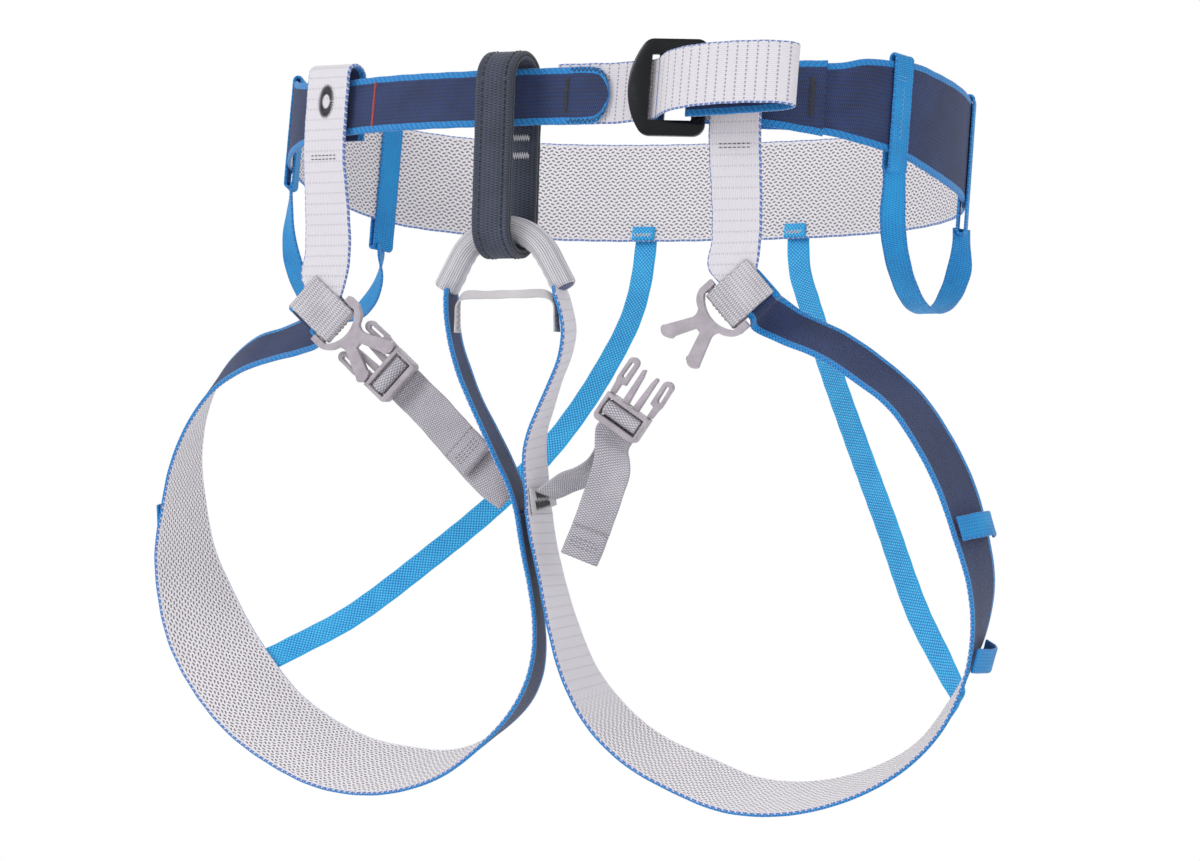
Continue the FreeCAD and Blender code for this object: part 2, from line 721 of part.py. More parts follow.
def slot_outline(first, second, radius):
    """A closed slot round two centres, as outline points with arcs at both ends."""
    along = V(second[0] - first[0], second[1] - first[1], 0).normalize()
    side = V(-along.y, along.x, 0)
    a, b = V(first[0], first[1], 0), V(second[0], second[1], 0)
    p = [a + side * radius, a - side * radius, b - side * radius, b + side * radius]
    top, low = a - along * radius, b + along * radius
    return [
        (p[0].x, p[0].y),
        (p[1].x, p[1].y, "arc", top.x, top.y),
        (p[2].x, p[2].y),
        (p[3].x, p[3].y, "arc", low.x, low.y),
    ]


def slot_ring(name, role, first, second, bend, thick, width_alias):
    """A sewn ring of webbing: the space between two slots, padded to the webbing's width."""
    body = new_body(name + "_body")
    outline = new_sketch(body, role, name + "_outer")
    add_outline(outline, slot_outline(first, second, bend))
    pad(body, outline, name + "_pad", f"dims.{width_alias}", midplane=True)
    inner = new_sketch(body, role, name + "_inner")
    add_outline(inner, slot_outline(first, second, bend - thick))
    pocket(body, inner, name + "_opening")
    return body


belay = slot_ring("belay", "YZ_Plane", BELAY_TOP, BELAY_BOTTOM, dim("belay_bend"),
                  dim("belay_thick"), "belay_width")
keep(belay, "belay_loop", FreeCAD.Placement(V(ARCH_CENTRE.x, 0, 0), FreeCAD.Rotation()))

# ---------------------------------------------------------------- groups of small sewn blocks


def blocks(label, items, thick_alias="tack_height"):
    """Separate flat blocks in one node. Each is (centre, x direction, z direction, long, wide)."""
    members = []
    for index, (centre, x_axis, z_axis, size_x, size_y) in enumerate(items):
        block = DOC.addObject("Part::Box", f"{label}_{index}")
        block.Length = size_x
        block.Width = size_y
        block.setExpression("Height", f"dims.{thick_alias}")
        frame = local_frame(centre, x_axis.normalize(), z_axis.normalize())
        shift = FreeCAD.Placement(V(-size_x / 2.0, -size_y / 2.0, 0), FreeCAD.Rotation())
        block.Placement = frame * shift
        members.append(block)
    group = DOC.addObject("Part::Compound", label + "_group")
    group.Links = members
    return keep(group, label)


def tilted(point):
    return TILT.multVec(point)


def tilted_direction(direction):
    return TILT.Rotation.multVec(direction)


def ring_block(x, offset, size_x, size_y, lift=0.0):
    """A block on the waist webbing's outside, at x on its front."""
    angle = ring_angle(x)
    out = ring_outward(angle)
    along = V(-out.y, out.x, 0)
    centre = off_ring(x, offset, lift)
    return (tilted(centre), tilted_direction(along), tilted_direction(out), size_x, size_y)


FACE = dim("webbing_thick") / 2.0 + 0.1
blocks("waist_bar_tacks", [
    ring_block(27.0, FACE, 2.6, 17.0, 0.5),
    ring_block(-84.0, FACE, 1.2, 22.0, 1.0),
    ring_block(140.0, 2.3 + FACE, 2.6, 19.0, 3.0),
])


def belay_tacks():
    """Three rows of zigzag tacking on the back leg's outer face."""
    items = []
    slope = (BELAY_BOTTOM[0] - BELAY_TOP[0]) / (BELAY_BOTTOM[1] - BELAY_TOP[1])
    for z in (8.0, 0.0, -8.6):
        middle_y = BELAY_TOP[0] + slope * (z - BELAY_TOP[1])
        inner_face = middle_y + dim("belay_bend") - dim("belay_thick") - 0.1
        items.append((V(ARCH_CENTRE.x, inner_face, z), V(1, 0, 0), V(0, -1, 0), 12.0, 3.2))
    return blocks("belay_bar_tacks", items)


belay_tacks()

# ---------------------------------------------------------------- leg buckles

def anchor(name, buckle):
    """The short webbing folded round a hook's bar, its two ends sewn on both sides of the fold
    where the riser becomes the leg loop."""
    middle = dim("anchor_bend") - dim("anchor_thick") / 2.0
    span = dim("anchor_length")
    path = [(-span, middle), (-span * 0.6, middle), (-span * 0.25, middle)]
    for step in range(9):
        swing = math.radians(90.0 - 22.5 * step)
        path.append((middle * math.cos(swing), middle * math.sin(swing)))
    path += [(-span * 0.25, -middle), (-span * 0.6, -middle), (-span, -middle)]
    width = buckle.Rotation.multVec(V(0, dim("anchor_width"), 0))
    stations = [(buckle.multVec(V(x, 0, z)), width) for x, z in path]
    return keep_shape(name, webbing(stations, dim("anchor_thick")))


anchor("buckle_anchor_left", LEFT_BUCKLE)
anchor("buckle_anchor_right", RIGHT_HOOK)


def mirrored(points):
    """The lower half of an outline that is symmetric about X, in running order."""
    flipped = []
    for index in range(len(points) - 1, -1, -1):
        x, y = points[index][0], points[index][1]
        arrives = points[index + 1] if index + 1 < len(points) else None
        if arrives is not None and len(arrives) == 5:
            flipped.append((x, -y, "arc", arrives[3], -arrives[4]))
        else:
            flipped.append((x, -y))
    return flipped


HOOK_HALF = [
    (-3.6, 14.4),
    (2.6, 14.4),
    (9.6, 8.0, "arc", 7.2, 12.0),
    (14.6, 6.6, "arc", 12.0, 6.5),
    (27.0, 12.6),
    (29.8, 12.4, "arc", 28.6, 13.2),
    (30.0, 7.2, "arc", 30.9, 9.8),
    (27.8, 5.9, "arc", 29.2, 6.0),
    (16.6, 1.4),
]


# Spans of the hook's small features: along it (x) and out from its middle line (y).
BOW_X, BOW_Y, BOW_DEEPEST = (-3.8, 3.2), 11.3, 8.4
LUG_X, LUG_Y = (-3.0, 2.6), (11.5, 14.3)
CATCH_X, CATCH_Y = (27.0, 29.8), (6.4, 8.7)


def corners(x_span, y_span):
    """The four corners of a rectangle from its two spans."""
    (x_low, x_high), (y_low, y_high) = x_span, y_span
    return [(x_low, y_low), (x_high, y_low), (x_high, y_high), (x_low, y_high)]


def on_side(span, side):
    """A span out from the middle line, on one side of it."""
    return tuple(sorted(value * side for value in span))


def hook(name, placement):
    """The open hook: a bar between two lugs, a neck and two spread legs with catches behind."""
    body = new_body(name + "_body")
    outline = new_sketch(body, "XY_Plane", name + "_outline")
    add_outline(outline, HOOK_HALF + mirrored(HOOK_HALF))
    pad(body, outline, name + "_plate", "dims.hook_plate")
    bow = new_sketch(body, "XY_Plane", name + "_bow")
    add_outline(bow, [
        (BOW_X[0], BOW_Y),
        (BOW_X[1], BOW_Y),
        (BOW_X[1], -BOW_Y, "arc", BOW_DEEPEST, 0.0),
        (BOW_X[0], -BOW_Y),
    ])
    pocket(body, bow, name + "_bow_cut")
    for side in (1, -1):
        lug = new_sketch(body, "XY_Plane", f"{name}_lug_{side}")
        add_outline(lug, corners(LUG_X, on_side(LUG_Y, side)))
        pad(body, lug, f"{name}_lug_pad_{side}", "dims.buckle_bar_radius", reverse=True)
        catch = new_sketch(body, "XY_Plane", f"{name}_catch_{side}")
        add_outline(catch, corners(CATCH_X, on_side(CATCH_Y, side)))
        pad(body, catch, f"{name}_catch_pad_{side}", "dims.hook_catch_depth", reverse=True)
    bar = new_sketch(body, "XZ_Plane", name + "_bar")
    ring = bar.addGeometry(Part.Circle(V(0, 0, 0), AXES["Z"], dim("buckle_bar_radius")), False)
    bar.addConstraint(Sketcher.Constraint("Coincident", ring, 3, -1, 1))
    size = bar.addConstraint(Sketcher.Constraint("Radius", ring, dim("buckle_bar_radius")))
    bar.setExpression(f"Constraints[{size}]", "dims.buckle_bar_radius")
    pad(body, bar, name + "_bar_pad", "dims.latch_width", midplane=True)
    return keep(body, name, placement)


hook("hook_left", LEFT_BUCKLE)
hook("hook_right", RIGHT_HOOK)

LATCH_NEAR = LATCH_FAR - dim("latch_length")
# The latch's undersides below its axes, its spans along (x) and across (y), and its roundings.
FRAME_UNDERSIDE, PRONG_UNDERSIDE, BAR_UNDERSIDE = -4.4, -4.3, -2.4
WINDOW_X, WINDOW_Y = (33.4, 42.6), (-10.4, 10.4)
BAR_X, BAR_Y = (36.4, 39.4), (-11.0, 11.0)
CORNER_ROUND, FACE_ROUND = 2.6, 0.8
CORNERS_BEYOND_X, UPRIGHT_OVER, FACE_ABOVE_Z = 40.0, 5.0, 3.1
TAB_SLOT, TAB_SLOT_RADIUS = ((14.4, 10.3), (21.4, 10.6)), 0.9


def latch_frame(name, placement):
    """The ladder frame, with a bar between two slots, and its two central prongs."""
    body = new_body(name + "_body")
    outline = new_sketch(body, "XY_Plane", name + "_outline", FRAME_UNDERSIDE)
    add_rectangle(outline, "latch_length", "latch_width", ((LATCH_NEAR + LATCH_FAR) / 2.0, 0.0))
    pad(body, outline, name + "_block", "dims.latch_depth")
    round_edges(body, name + "_corners", CORNER_ROUND,
                lambda e: e.BoundBox.ZLength > UPRIGHT_OVER and e.BoundBox.XMin > CORNERS_BEYOND_X)
    window = new_sketch(body, "XY_Plane", name + "_window")
    add_outline(window, corners(WINDOW_X, WINDOW_Y))
    pocket(body, window, name + "_window_cut")
    bar = new_sketch(body, "XY_Plane", name + "_bar", BAR_UNDERSIDE)
    add_outline(bar, corners(BAR_X, BAR_Y))
    pad(body, bar, name + "_bar_pad", "dims.latch_bar")
    for side in (1, -1):
        prong = new_sketch(body, "XY_Plane", f"{name}_prong_{side}", PRONG_UNDERSIDE)
        add_outline(prong, [
            (LATCH_NEAR + 0.4, 1.4 * side),
            (LATCH_NEAR + 0.4, 4.6 * side),
            (15.0, 4.5 * side),
            (13.2, 3.2 * side, "arc", 13.6, 4.3 * side),
            (17.0, 2.4 * side),
        ])
        pad(body, prong, f"{name}_prong_pad_{side}", "dims.tab_depth")
    round_edges(body, name + "_face", FACE_ROUND,
                lambda e: e.BoundBox.ZLength < 0.01 and e.BoundBox.ZMax > FACE_ABOVE_Z)
    return keep(body, name, placement)


def latch_tab(name, side, placement):
    """One squeeze tab: a paddle with a long slot, on a narrow arm that starts at the frame."""
    body = new_body(name + "_body")
    outline = new_sketch(body, "XY_Plane", name + "_outline", PRONG_UNDERSIDE)
    add_outline(outline, [
        (LATCH_NEAR - 0.3, 9.6 * side),
        (LATCH_NEAR - 0.3, 12.2 * side),
        (25.6, 12.6 * side),
        (23.6, 13.2 * side),
        (14.6, 13.0 * side),
        (13.8, 7.4 * side, "arc", 11.0, 10.4 * side),
        (25.0, 7.4 * side),
        (25.4, 9.6 * side),
    ])
    pad(body, outline, name + "_paddle", "dims.tab_depth")
    slot = new_sketch(body, "XY_Plane", name + "_slot")
    ends = [(x_at, y_at * side) for x_at, y_at in TAB_SLOT]
    add_outline(slot, slot_outline(*ends, TAB_SLOT_RADIUS))
    pocket(body, slot, name + "_slot_cut")
    return keep(body, name, placement)


for prefix, placement in (("left", LEFT_BUCKLE), ("right", RIGHT_LATCH)):
    latch_frame(f"latch_{prefix}_frame", placement)
    upper = 1 if prefix == "left" else -1
    latch_tab(f"latch_{prefix}_tab_upper", upper, placement)
    latch_tab(f"latch_{prefix}_tab_lower", -upper, placement)

# ---------------------------------------------------------------- leg straps

STRAP = dim("strap_width") - 0.6

# Round the latch's middle bar, in the latch's own (x, z): from under the frame up the near side
# of the window, over the bar, down its far side and out under the end bar.
STRAP_WRAP = [
    (50.0, -7.8),
    (42.0, -7.8),
    (37.4, -7.6),
    (35.4, -6.3),
    (34.9, -3.6),
    (34.9, -0.2),
    (35.4, 1.7),
    (36.6, 2.7),
    (38.0, 3.0),
    (39.4, 2.7),
    (40.5, 1.7),
    (40.9, -0.6),
    (40.9, -3.2),
    (41.5, -5.0),
    (43.0, -5.9),
    (46.0, -6.1),
    (50.0, -6.1),
]


def through_latch(placement, before, after):
    """A leg strap: the strand from the crotch, its turn round the bar and its tail."""
    width = placement.Rotation.multVec(V(0, STRAP, 0))
    turn = [(placement.multVec(V(x, 0, z)), width) for x, z in STRAP_WRAP]
    return before + turn + after


LEFT_STRAP_IN = [
    (V(-12.2, -99.5, -175.0), V(2.0, 11.0, 8.0)),
    (V(-16.0, -99.2, -170.6), V(5.0, 8.0, 12.0)),
    (V(-22.4, -98.4, -164.4), V(9.4, 5.0, 14.4)),
    (V(-31.0, -96.8, -156.4), V(12.3, 3.4, 14.4)),
    (V(-44.0, -94.2, -145.0), V(12.9, 2.8, 14.2)),
    (V(-57.0, -92.0, -133.2), V(12.9, 2.8, 14.2)),
]
LEFT_STRAP_OUT = [
    (V(-57.5, -95.0, -130.6), V(12.9, 2.8, 14.2)),
    (V(-44.6, -97.6, -141.6), V(12.9, 2.8, 14.2)),
    (V(-38.6, -98.8, -146.6), V(12.9, 2.8, 14.2)),
]
LEFT_HEM = [
    (V(-38.2, -98.9, -146.9), V(12.9, 2.8, 14.2)),
    (V(-33.0, -99.9, -151.2), V(12.9, 2.8, 14.2)),
    (V(-27.6, -101.0, -155.8), V(12.9, 2.8, 14.2)),
]
RIGHT_STRAP_IN = [
    (V(8.8, -98.5, -172.0), V(0.3, 18.6, -4.0)),
    (V(13.4, -98.0, -169.6), V(-0.4, 18.2, -6.4)),
    (V(20.0, -97.6, -166.0), V(-1.6, 17.4, -8.6)),
    (V(28.0, -97.4, -163.4), V(-1.0, 17.4, -8.8)),
    (V(35.5, -97.8, -160.4), V(2.0, 16.6, -9.6)),
    (V(42.0, -98.8, -156.4), V(8.0, 12.6, -11.8)),
    (V(46.4, -100.6, -151.0), V(13.6, 6.0, -12.2)),
]
RIGHT_STRAP_OUT = [
    (V(49.0, -106.4, -150.5), V(17.2, 3.2, -8.4)),
    (V(49.6, -107.8, -158.0), V(18.1, 3.2, -6.2)),
    (V(45.8, -109.0, -171.0), V(18.2, 3.3, -5.9)),
    (V(39.4, -110.0, -188.4), V(18.1, 3.4, -6.3)),
]
RIGHT_HEM = [
    (V(39.2, -110.0, -188.8), V(18.1, 3.4, -6.3)),
    (V(36.2, -110.4, -196.0), V(18.0, 3.4, -6.6)),
    (V(33.4, -110.8, -202.4), V(17.9, 3.4, -6.9)),
]

LEG_STRAPS = (
    ("left", LEFT_BUCKLE, LEFT_STRAP_IN, LEFT_STRAP_OUT, LEFT_HEM),
    ("right", RIGHT_LATCH, RIGHT_STRAP_IN, RIGHT_STRAP_OUT, RIGHT_HEM),
)
for prefix, placement, strand, tail, hem in LEG_STRAPS:
    stations = through_latch(placement, strand, tail)
    keep_shape(f"leg_strap_{prefix}", webbing(stations, dim("strap_thick")))
    keep_shape(f"leg_strap_{prefix}_hem", webbing(hem, dim("hem_thick")))

# ---------------------------------------------------------------- crotch tab

TAB_X = 5.1
CROSSING_TAB = [
    (TAB_X, -108.4, -168.6, 0.0, 24.0, 0.6),
    (TAB_X, -107.2, -175.0, 0.0, 25.0, 1.0),
    (TAB_X, -105.4, -181.6, 0.0, 24.0, 4.6),
]
keep_shape("crotch_tab", webbing(from_edges(CROSSING_TAB), 1.0))
blocks("crotch_bar_tacks", [
    (V(TAB_X + 0.6, -96.0, z), V(0, 1, 0.16), V(1, 0, 0), 14.0, 2.6) for z in (-172.2, -176.8)
])

# ---------------------------------------------------------------- rear elastics


def ring_back(x, offset, lift):
    """A point beside the back of the ring, moved outward by offset, in the row frame."""
    angle = 180.0 - ring_angle(x)
    return tilted(ring_point(angle) + ring_outward(angle) * offset + V(0, 0, lift))


ELASTIC_RUNS = {
    "left": [
        (-45.0, 103.0, -65.0, 12.5, 0.0, -1.0),
        (-46.0, 93.0, -84.0, 12.3, 0.0, -2.4),
        (-53.0, 80.0, -108.0, 11.7, 0.0, -4.4),
        (-62.0, 66.0, -131.0, 11.2, -0.2, -5.6),
        (-73.0, 52.0, -152.0, 10.5, -0.4, -6.8),
        (-92.0, 33.0, -178.0, 9.6, -0.6, -8.0),
        (-118.0, 7.0, -207.0, 9.0, -0.8, -8.6),
        (-149.0, -17.5, -236.0, 8.8, -0.9, -8.8),
        (-172.0, -32.4, -250.6, 8.5, -1.0, -9.1),
        (-182.0, -40.1, -256.8, 8.2, -1.0, -9.4),
        (-184.6, -44.3, -258.3, 8.2, -1.0, -9.4),
        (-187.1, -49.5, -260.0, 8.2, -1.0, -9.4),
    ],
    "right": [
        (47.0, 104.0, -59.0, 12.3, 0.0, 2.0),
        (57.0, 94.0, -76.0, 11.4, 0.0, 5.0),
        (79.0, 72.0, -109.0, 10.6, 0.0, 6.6),
        (107.0, 45.0, -148.0, 10.3, 0.0, 7.0),
        (135.0, 18.0, -186.0, 10.2, 0.0, 7.1),
        (165.0, -10.0, -229.0, 10.0, 0.2, 7.4),
        (186.0, -24.4, -255.0, 9.2, -2.2, 7.9),
        (197.1, -33.8, -268.5, 8.0, -5.3, 8.0),
        (197.3, -39.2, -272.6, 8.0, -5.3, 8.0),
        (197.4, -44.2, -276.1, 8.0, -5.3, 8.0),
    ],
}
ELASTIC_X = {"left": -44.0, "right": 44.0}


def elastic(prefix):
    x = ELASTIC_X[prefix]
    flat = V(dim("elastic_width"), 0, 0)
    stations = [(ring_back(x, 2.7, -12.0), flat), (ring_back(x, 2.7, -25.0), flat)]
    for x_at, y_at, z_at, wide_x, wide_y, wide_z in ELASTIC_RUNS[prefix]:
        stations.append((V(x_at, y_at, z_at), V(wide_x, wide_y, wide_z)))
    return keep_shape(f"rear_elastic_{prefix}", webbing(stations, dim("elastic_thick")))


elastic("left")
elastic("right")


def elastic_end(x):
    """The elastic's end, turned under the waist webbing's lower edge to its inside."""
    angle = 180.0 - ring_angle(x)
    out = tilted_direction(ring_outward(angle))
    up = tilted_direction(AXES["Z"])
    return (ring_back(x, -FACE, -20.0), up.cross(out) * -1.0, out * -1.0, dim("elastic_width"), 7.0)


blocks("rear_elastic_ends", [elastic_end(x) for x in ELASTIC_X.values()])

# ---------------------------------------------------------------- gear loops

# (angle round the ring, middle of the upper fold, middle of the lower fold)
STRIPS = {
    "gear_strip_front_right": (73.5, 29.6, -23.6),
    "gear_strip_rear_right": (107.0, 28.4, -37.0),
    "gear_strip_front_left": (-73.5, 29.6, -23.6),
    "gear_strip_rear_left": (-110.0, 28.4, -37.0),
}


def strip_placement(angle):
    out = tilted_direction(ring_outward(angle))
    return local_frame(tilted(ring_point(angle)), out, tilted_direction(AXES["Z"]))


def gear_strip(name, angle, high, low):
    """A narrow ring of webbing round the waist webbing, open below it for the gear loop."""
    ring = slot_ring(name, "XZ_Plane", (0.0, high), (0.0, low), dim("strip_bend"),
                     dim("strip_thick"), "elastic_width")
    return keep(ring, name, strip_placement(angle))


for strip_name, (strip_angle, strip_high, strip_low) in STRIPS.items():
    gear_strip(strip_name, strip_angle, strip_high, strip_low)

# (share of the way from the front strip to the rear one, drop below the chord, width direction)
GEAR_LOOP = [
    (0.000, 5.6, 7.0, 10.3, 0.0),
    (-0.012, 14.0, 8.6, 9.0, 0.0),
    (-0.024, 25.0, 10.6, 6.6, 0.0),
    (0.020, 38.0, 12.0, 2.0, 1.4),
    (0.130, 49.0, 12.3, 0.0, 1.6),
    (0.300, 55.5, 12.4, 0.0, 0.6),
    (0.500, 54.0, 12.5, 0.0, 0.0),
    (0.720, 44.5, 12.4, 0.6, 0.0),
    (0.880, 31.0, 12.0, 3.0, -1.0),
    (0.980, 17.0, 9.0, 8.2, -2.0),
    (1.000, 5.6, 4.0, 11.7, -1.0),
]


def gear_loop(prefix):
    side = RIGHT if prefix == "right" else LEFT
    ends = []
    for name in (f"gear_strip_front_{prefix}", f"gear_strip_rear_{prefix}"):
        angle, high, low = STRIPS[name]
        ends.append(strip_placement(angle).multVec(V(0, 0, low)))
    front, rear = ends
    stations = []
    for share, drop, wide_x, wide_y, wide_z in GEAR_LOOP:
        middle = front + (rear - front) * share - V(0, 0, drop)
        width = V(wide_x * side, wide_y, wide_z)
        stations.append((middle, width * (dim("elastic_width") / width.Length)))
    return keep_shape(f"gear_loop_{prefix}", webbing(stations, dim("strip_thick")))


gear_loop("left")
gear_loop("right")

# ---------------------------------------------------------------- ice screw holders

HOLDER_BULGE = [(0.07, 0.0), (0.2, 2.8), (0.36, 5.6), (0.52, 6.6), (0.68, 5.6), (0.84, 2.8), (0.95, 0.0)]


def holder(name, stations, place, outward_sign):
    """A short webbing across the leg loop's outside, sewn at both edges and slack between.
    place counts stations from the start of the leg loop."""
    index = int(place)
    share = place - index
    low, high = stations[index], stations[index + 1]
    middle = low[0] + (high[0] - low[0]) * share
    width = low[1] + (high[1] - low[1]) * share
    along = (high[0] - low[0]).normalize()
    out = along.cross(width).normalize() * outward_sign
    across = width.cross(out).normalize() * dim("screw_loop_width")
    base = dim("webbing_thick") / 2.0 + dim("strip_thick") / 2.0 + 1.8
    path = []
    for position, bulge in HOLDER_BULGE:
        path.append((middle + width * (position - 0.5) + out * (base + bulge), across))
    return keep_shape(name, webbing(path, dim("strip_thick")))


holder("ice_screw_holder_left_upper", LEFT_LEG_STATIONS, 10.2, -1.0)
holder("ice_screw_holder_left_lower", LEFT_LEG_STATIONS, 12.5, -1.0)
holder("ice_screw_holder_right_upper", RIGHT_LEG_STATIONS, 9.9, 1.0)
holder("ice_screw_holder_right_lower", RIGHT_LEG_STATIONS, 12.5, 1.0)

# ---------------------------------------------------------------- checks and files


def check_and_export():
    DOC.recompute()
    failed = [o.Name for o in DOC.Objects if {"Invalid", "Error"} & set(o.State)]
    if failed:
        raise RuntimeError("these objects failed: " + ", ".join(failed))
    for node in NODES:
        if node.Shape.isNull() or not node.Shape.isValid():
            raise RuntimeError(node.Label + " has no valid shape")
        if not node.Shape.Solids:
            raise RuntimeError(node.Label + " holds no solid")
    os.makedirs("parts", exist_ok=True)
    for node in NODES:
        node.Shape.exportStep(f"parts/{node.Label}.step")
    print(len(NODES), "nodes written")


check_and_export()
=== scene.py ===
"""The looks of the climbing harness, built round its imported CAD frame. Metres.

Every webbing is a ribbon: it follows the same stations as its CAD solid, made smooth, with a
woven section and coloured edges. Buckles are the CAD shapes with rounded edges. Stitches are
small threads laid on the ribbons.
"""

import json
import math

import bmesh
import bpy
import numpy as np
from mathutils import Matrix, Vector


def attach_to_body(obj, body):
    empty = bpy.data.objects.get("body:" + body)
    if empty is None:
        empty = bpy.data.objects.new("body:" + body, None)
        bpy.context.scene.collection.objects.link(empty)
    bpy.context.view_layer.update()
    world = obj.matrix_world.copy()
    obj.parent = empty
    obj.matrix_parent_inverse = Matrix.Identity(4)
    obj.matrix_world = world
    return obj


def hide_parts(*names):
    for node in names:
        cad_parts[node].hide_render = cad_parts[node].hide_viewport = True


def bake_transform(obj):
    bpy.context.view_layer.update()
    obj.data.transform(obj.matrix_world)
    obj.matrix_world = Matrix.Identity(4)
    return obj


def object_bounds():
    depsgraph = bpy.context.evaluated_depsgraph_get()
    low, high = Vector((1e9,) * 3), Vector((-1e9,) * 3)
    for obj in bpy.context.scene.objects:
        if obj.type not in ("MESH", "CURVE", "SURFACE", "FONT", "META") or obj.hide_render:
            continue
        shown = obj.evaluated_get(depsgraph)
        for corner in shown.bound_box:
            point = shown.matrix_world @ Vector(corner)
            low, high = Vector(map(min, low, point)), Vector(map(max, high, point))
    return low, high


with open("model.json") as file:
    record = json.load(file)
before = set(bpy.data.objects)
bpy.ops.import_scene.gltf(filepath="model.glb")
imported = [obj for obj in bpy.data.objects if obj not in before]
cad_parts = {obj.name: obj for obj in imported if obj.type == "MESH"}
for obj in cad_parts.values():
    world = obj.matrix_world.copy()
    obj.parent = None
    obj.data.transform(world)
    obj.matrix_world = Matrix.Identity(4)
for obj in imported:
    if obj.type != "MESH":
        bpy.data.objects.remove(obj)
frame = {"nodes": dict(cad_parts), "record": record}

CAD_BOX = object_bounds()
NODES = frame["nodes"]
BODIES = frame["record"]["behaviour"]["bodies"]
BODY_OF = {node: body for body, nodes in BODIES.items() for node in nodes}
SLOT_OF = {part["node"]: part["material_slot"] for part in frame["record"]["subparts"]}
JOINTS = {joint["name"]: joint for joint in frame["record"]["behaviour"]["joints"]}
MM = 0.001

# ---------------------------------------------------------------- materials


def linear(hex_colour):
    """A web colour as linear RGBA."""
    channels = [int(hex_colour[i:i + 2], 16) / 255 for i in (1, 3, 5)]
    return tuple(c / 12.92 if c < 0.04045 else ((c + 0.055) / 1.055) ** 2.4 for c in channels) + (1.0,)


class Shader:
    """A material with short calls for the nodes that these weaves need."""

    def __init__(self, name, roughness=0.7, sheen=0.0, metallic=0.0, coat=0.0, specular=0.5):
        self.material = bpy.data.materials.new(name)
        self.material.use_nodes = True
        self.tree = self.material.node_tree
        self.bsdf = self.tree.nodes["Principled BSDF"]
        self.set("Roughness", roughness)
        self.set("Metallic", metallic)
        self.set("Sheen Weight", sheen)
        self.set("Coat Weight", coat)
        self.set("Specular IOR Level", specular)

    def set(self, socket, value):
        self.bsdf.inputs[socket].default_value = value

    def node(self, kind, **settings):
        made = self.tree.nodes.new("ShaderNode" + kind)
        for key, value in settings.items():
            setattr(made, key, value)
        return made

    def link(self, source, target):
        if isinstance(source, (int, float)):
            target.default_value = source
        else:
            self.tree.links.new(source, target)

    def math(self, operation, *values):
        made = self.node("Math", operation=operation)
        for index, value in enumerate(values):
            self.link(value, made.inputs[index])
        return made.outputs[0]

    def uv(self, name):
        made = self.node("SeparateXYZ")
        self.tree.links.new(self.node("UVMap", uv_map=name).outputs["UV"], made.inputs[0])
        return made.outputs[0], made.outputs[1]

    def noise(self, scale, detail=3.0, rough=0.55):
        """Noise over the object's own coordinates, scale in features a metre."""
        made = self.node("TexNoise")
        made.inputs["Scale"].default_value = scale
        made.inputs["Detail"].default_value = detail
        made.inputs["Roughness"].default_value = rough
        place = self.node("TexCoord")
        self.tree.links.new(place.outputs["Object"], made.inputs["Vector"])
        return made.outputs["Fac"]

    def wave(self, value, pitch, phase=0.0):
        """A smooth 0 to 1 wave of a length, with this pitch."""
        turns = self.math("MULTIPLY_ADD", value, 2 * math.pi / pitch, phase)
        return self.math("MULTIPLY_ADD", self.math("SINE", turns), 0.5, 0.5)

    def step(self, value, low, high):
        made = self.node("MapRange", interpolation_type="SMOOTHSTEP")
        self.link(value, made.inputs[0])
        made.inputs[1].default_value = low
        made.inputs[2].default_value = high
        return made.outputs[0]

    def mix(self, share, first, second):
        """first and second are colours or colour outputs."""
        made = self.node("Mix", data_type="RGBA")
        self.link(share, made.inputs[0])
        for value, socket in ((first, made.inputs[6]), (second, made.inputs[7])):
            if isinstance(value, tuple):
                socket.default_value = value
            else:
                self.tree.links.new(value, socket)
        return made.outputs[2]

    def colour(self, source):
        self.tree.links.new(source, self.bsdf.inputs["Base Color"])

    def rough(self, value, low, high):
        made = self.math("MULTIPLY_ADD", value, high - low, low)
        self.tree.links.new(made, self.bsdf.inputs["Roughness"])

    def bump(self, height, distance, strength=0.8):
        made = self.node("Bump")
        made.inputs["Strength"].default_value = strength
        made.inputs["Distance"].default_value = distance
        self.tree.links.new(height, made.inputs["Height"])
        self.tree.links.new(made.outputs["Normal"], self.bsdf.inputs["Normal"])


def ribbed(name, high, low, rib, column, depth=0.22 * MM, sheen=0.25, lengthwise=False):
    """Woven webbing: ribs of one pitch, each crossed by columns of another, in two tones, the darker one
    painted shade in the grooves.
    The ribs run across the webbing, or along it when lengthwise."""
    made = Shader(name, sheen=sheen)
    across, along = made.uv("weave")
    first, second = (across, along) if lengthwise else (along, across)
    line = made.math("FLOOR", made.math("DIVIDE", second, column))
    shift = made.math("MULTIPLY", made.math("MODULO", line, 2.0), math.pi)
    turns = made.math("ADD", made.math("MULTIPLY", first, 2 * math.pi / rib), shift)
    rows = made.math("MULTIPLY_ADD", made.math("SINE", turns), 0.5, 0.5)
    columns = made.wave(second, column)
    weave = made.math("MULTIPLY_ADD", columns, 0.3, made.math("MULTIPLY", rows, 0.7))
    blotch = made.noise(55.0)
    tone = made.math("MULTIPLY_ADD", made.math("SUBTRACT", blotch, 0.5), 0.9, weave)
    # The low colour fills the grooves between ribs and columns as painted shade; random blotches also shift
    # the tone.
    made.colour(made.mix(made.step(tone, 0.1, 0.9), linear(low), linear(high)))
    made.rough(weave, 0.62, 0.8)
    made.bump(made.math("ADD", weave, made.math("MULTIPLY", made.noise(2600.0, 2.0), 0.35)), depth)
    return made


MESH_START = 33.0
MESH_FULL = 40.0


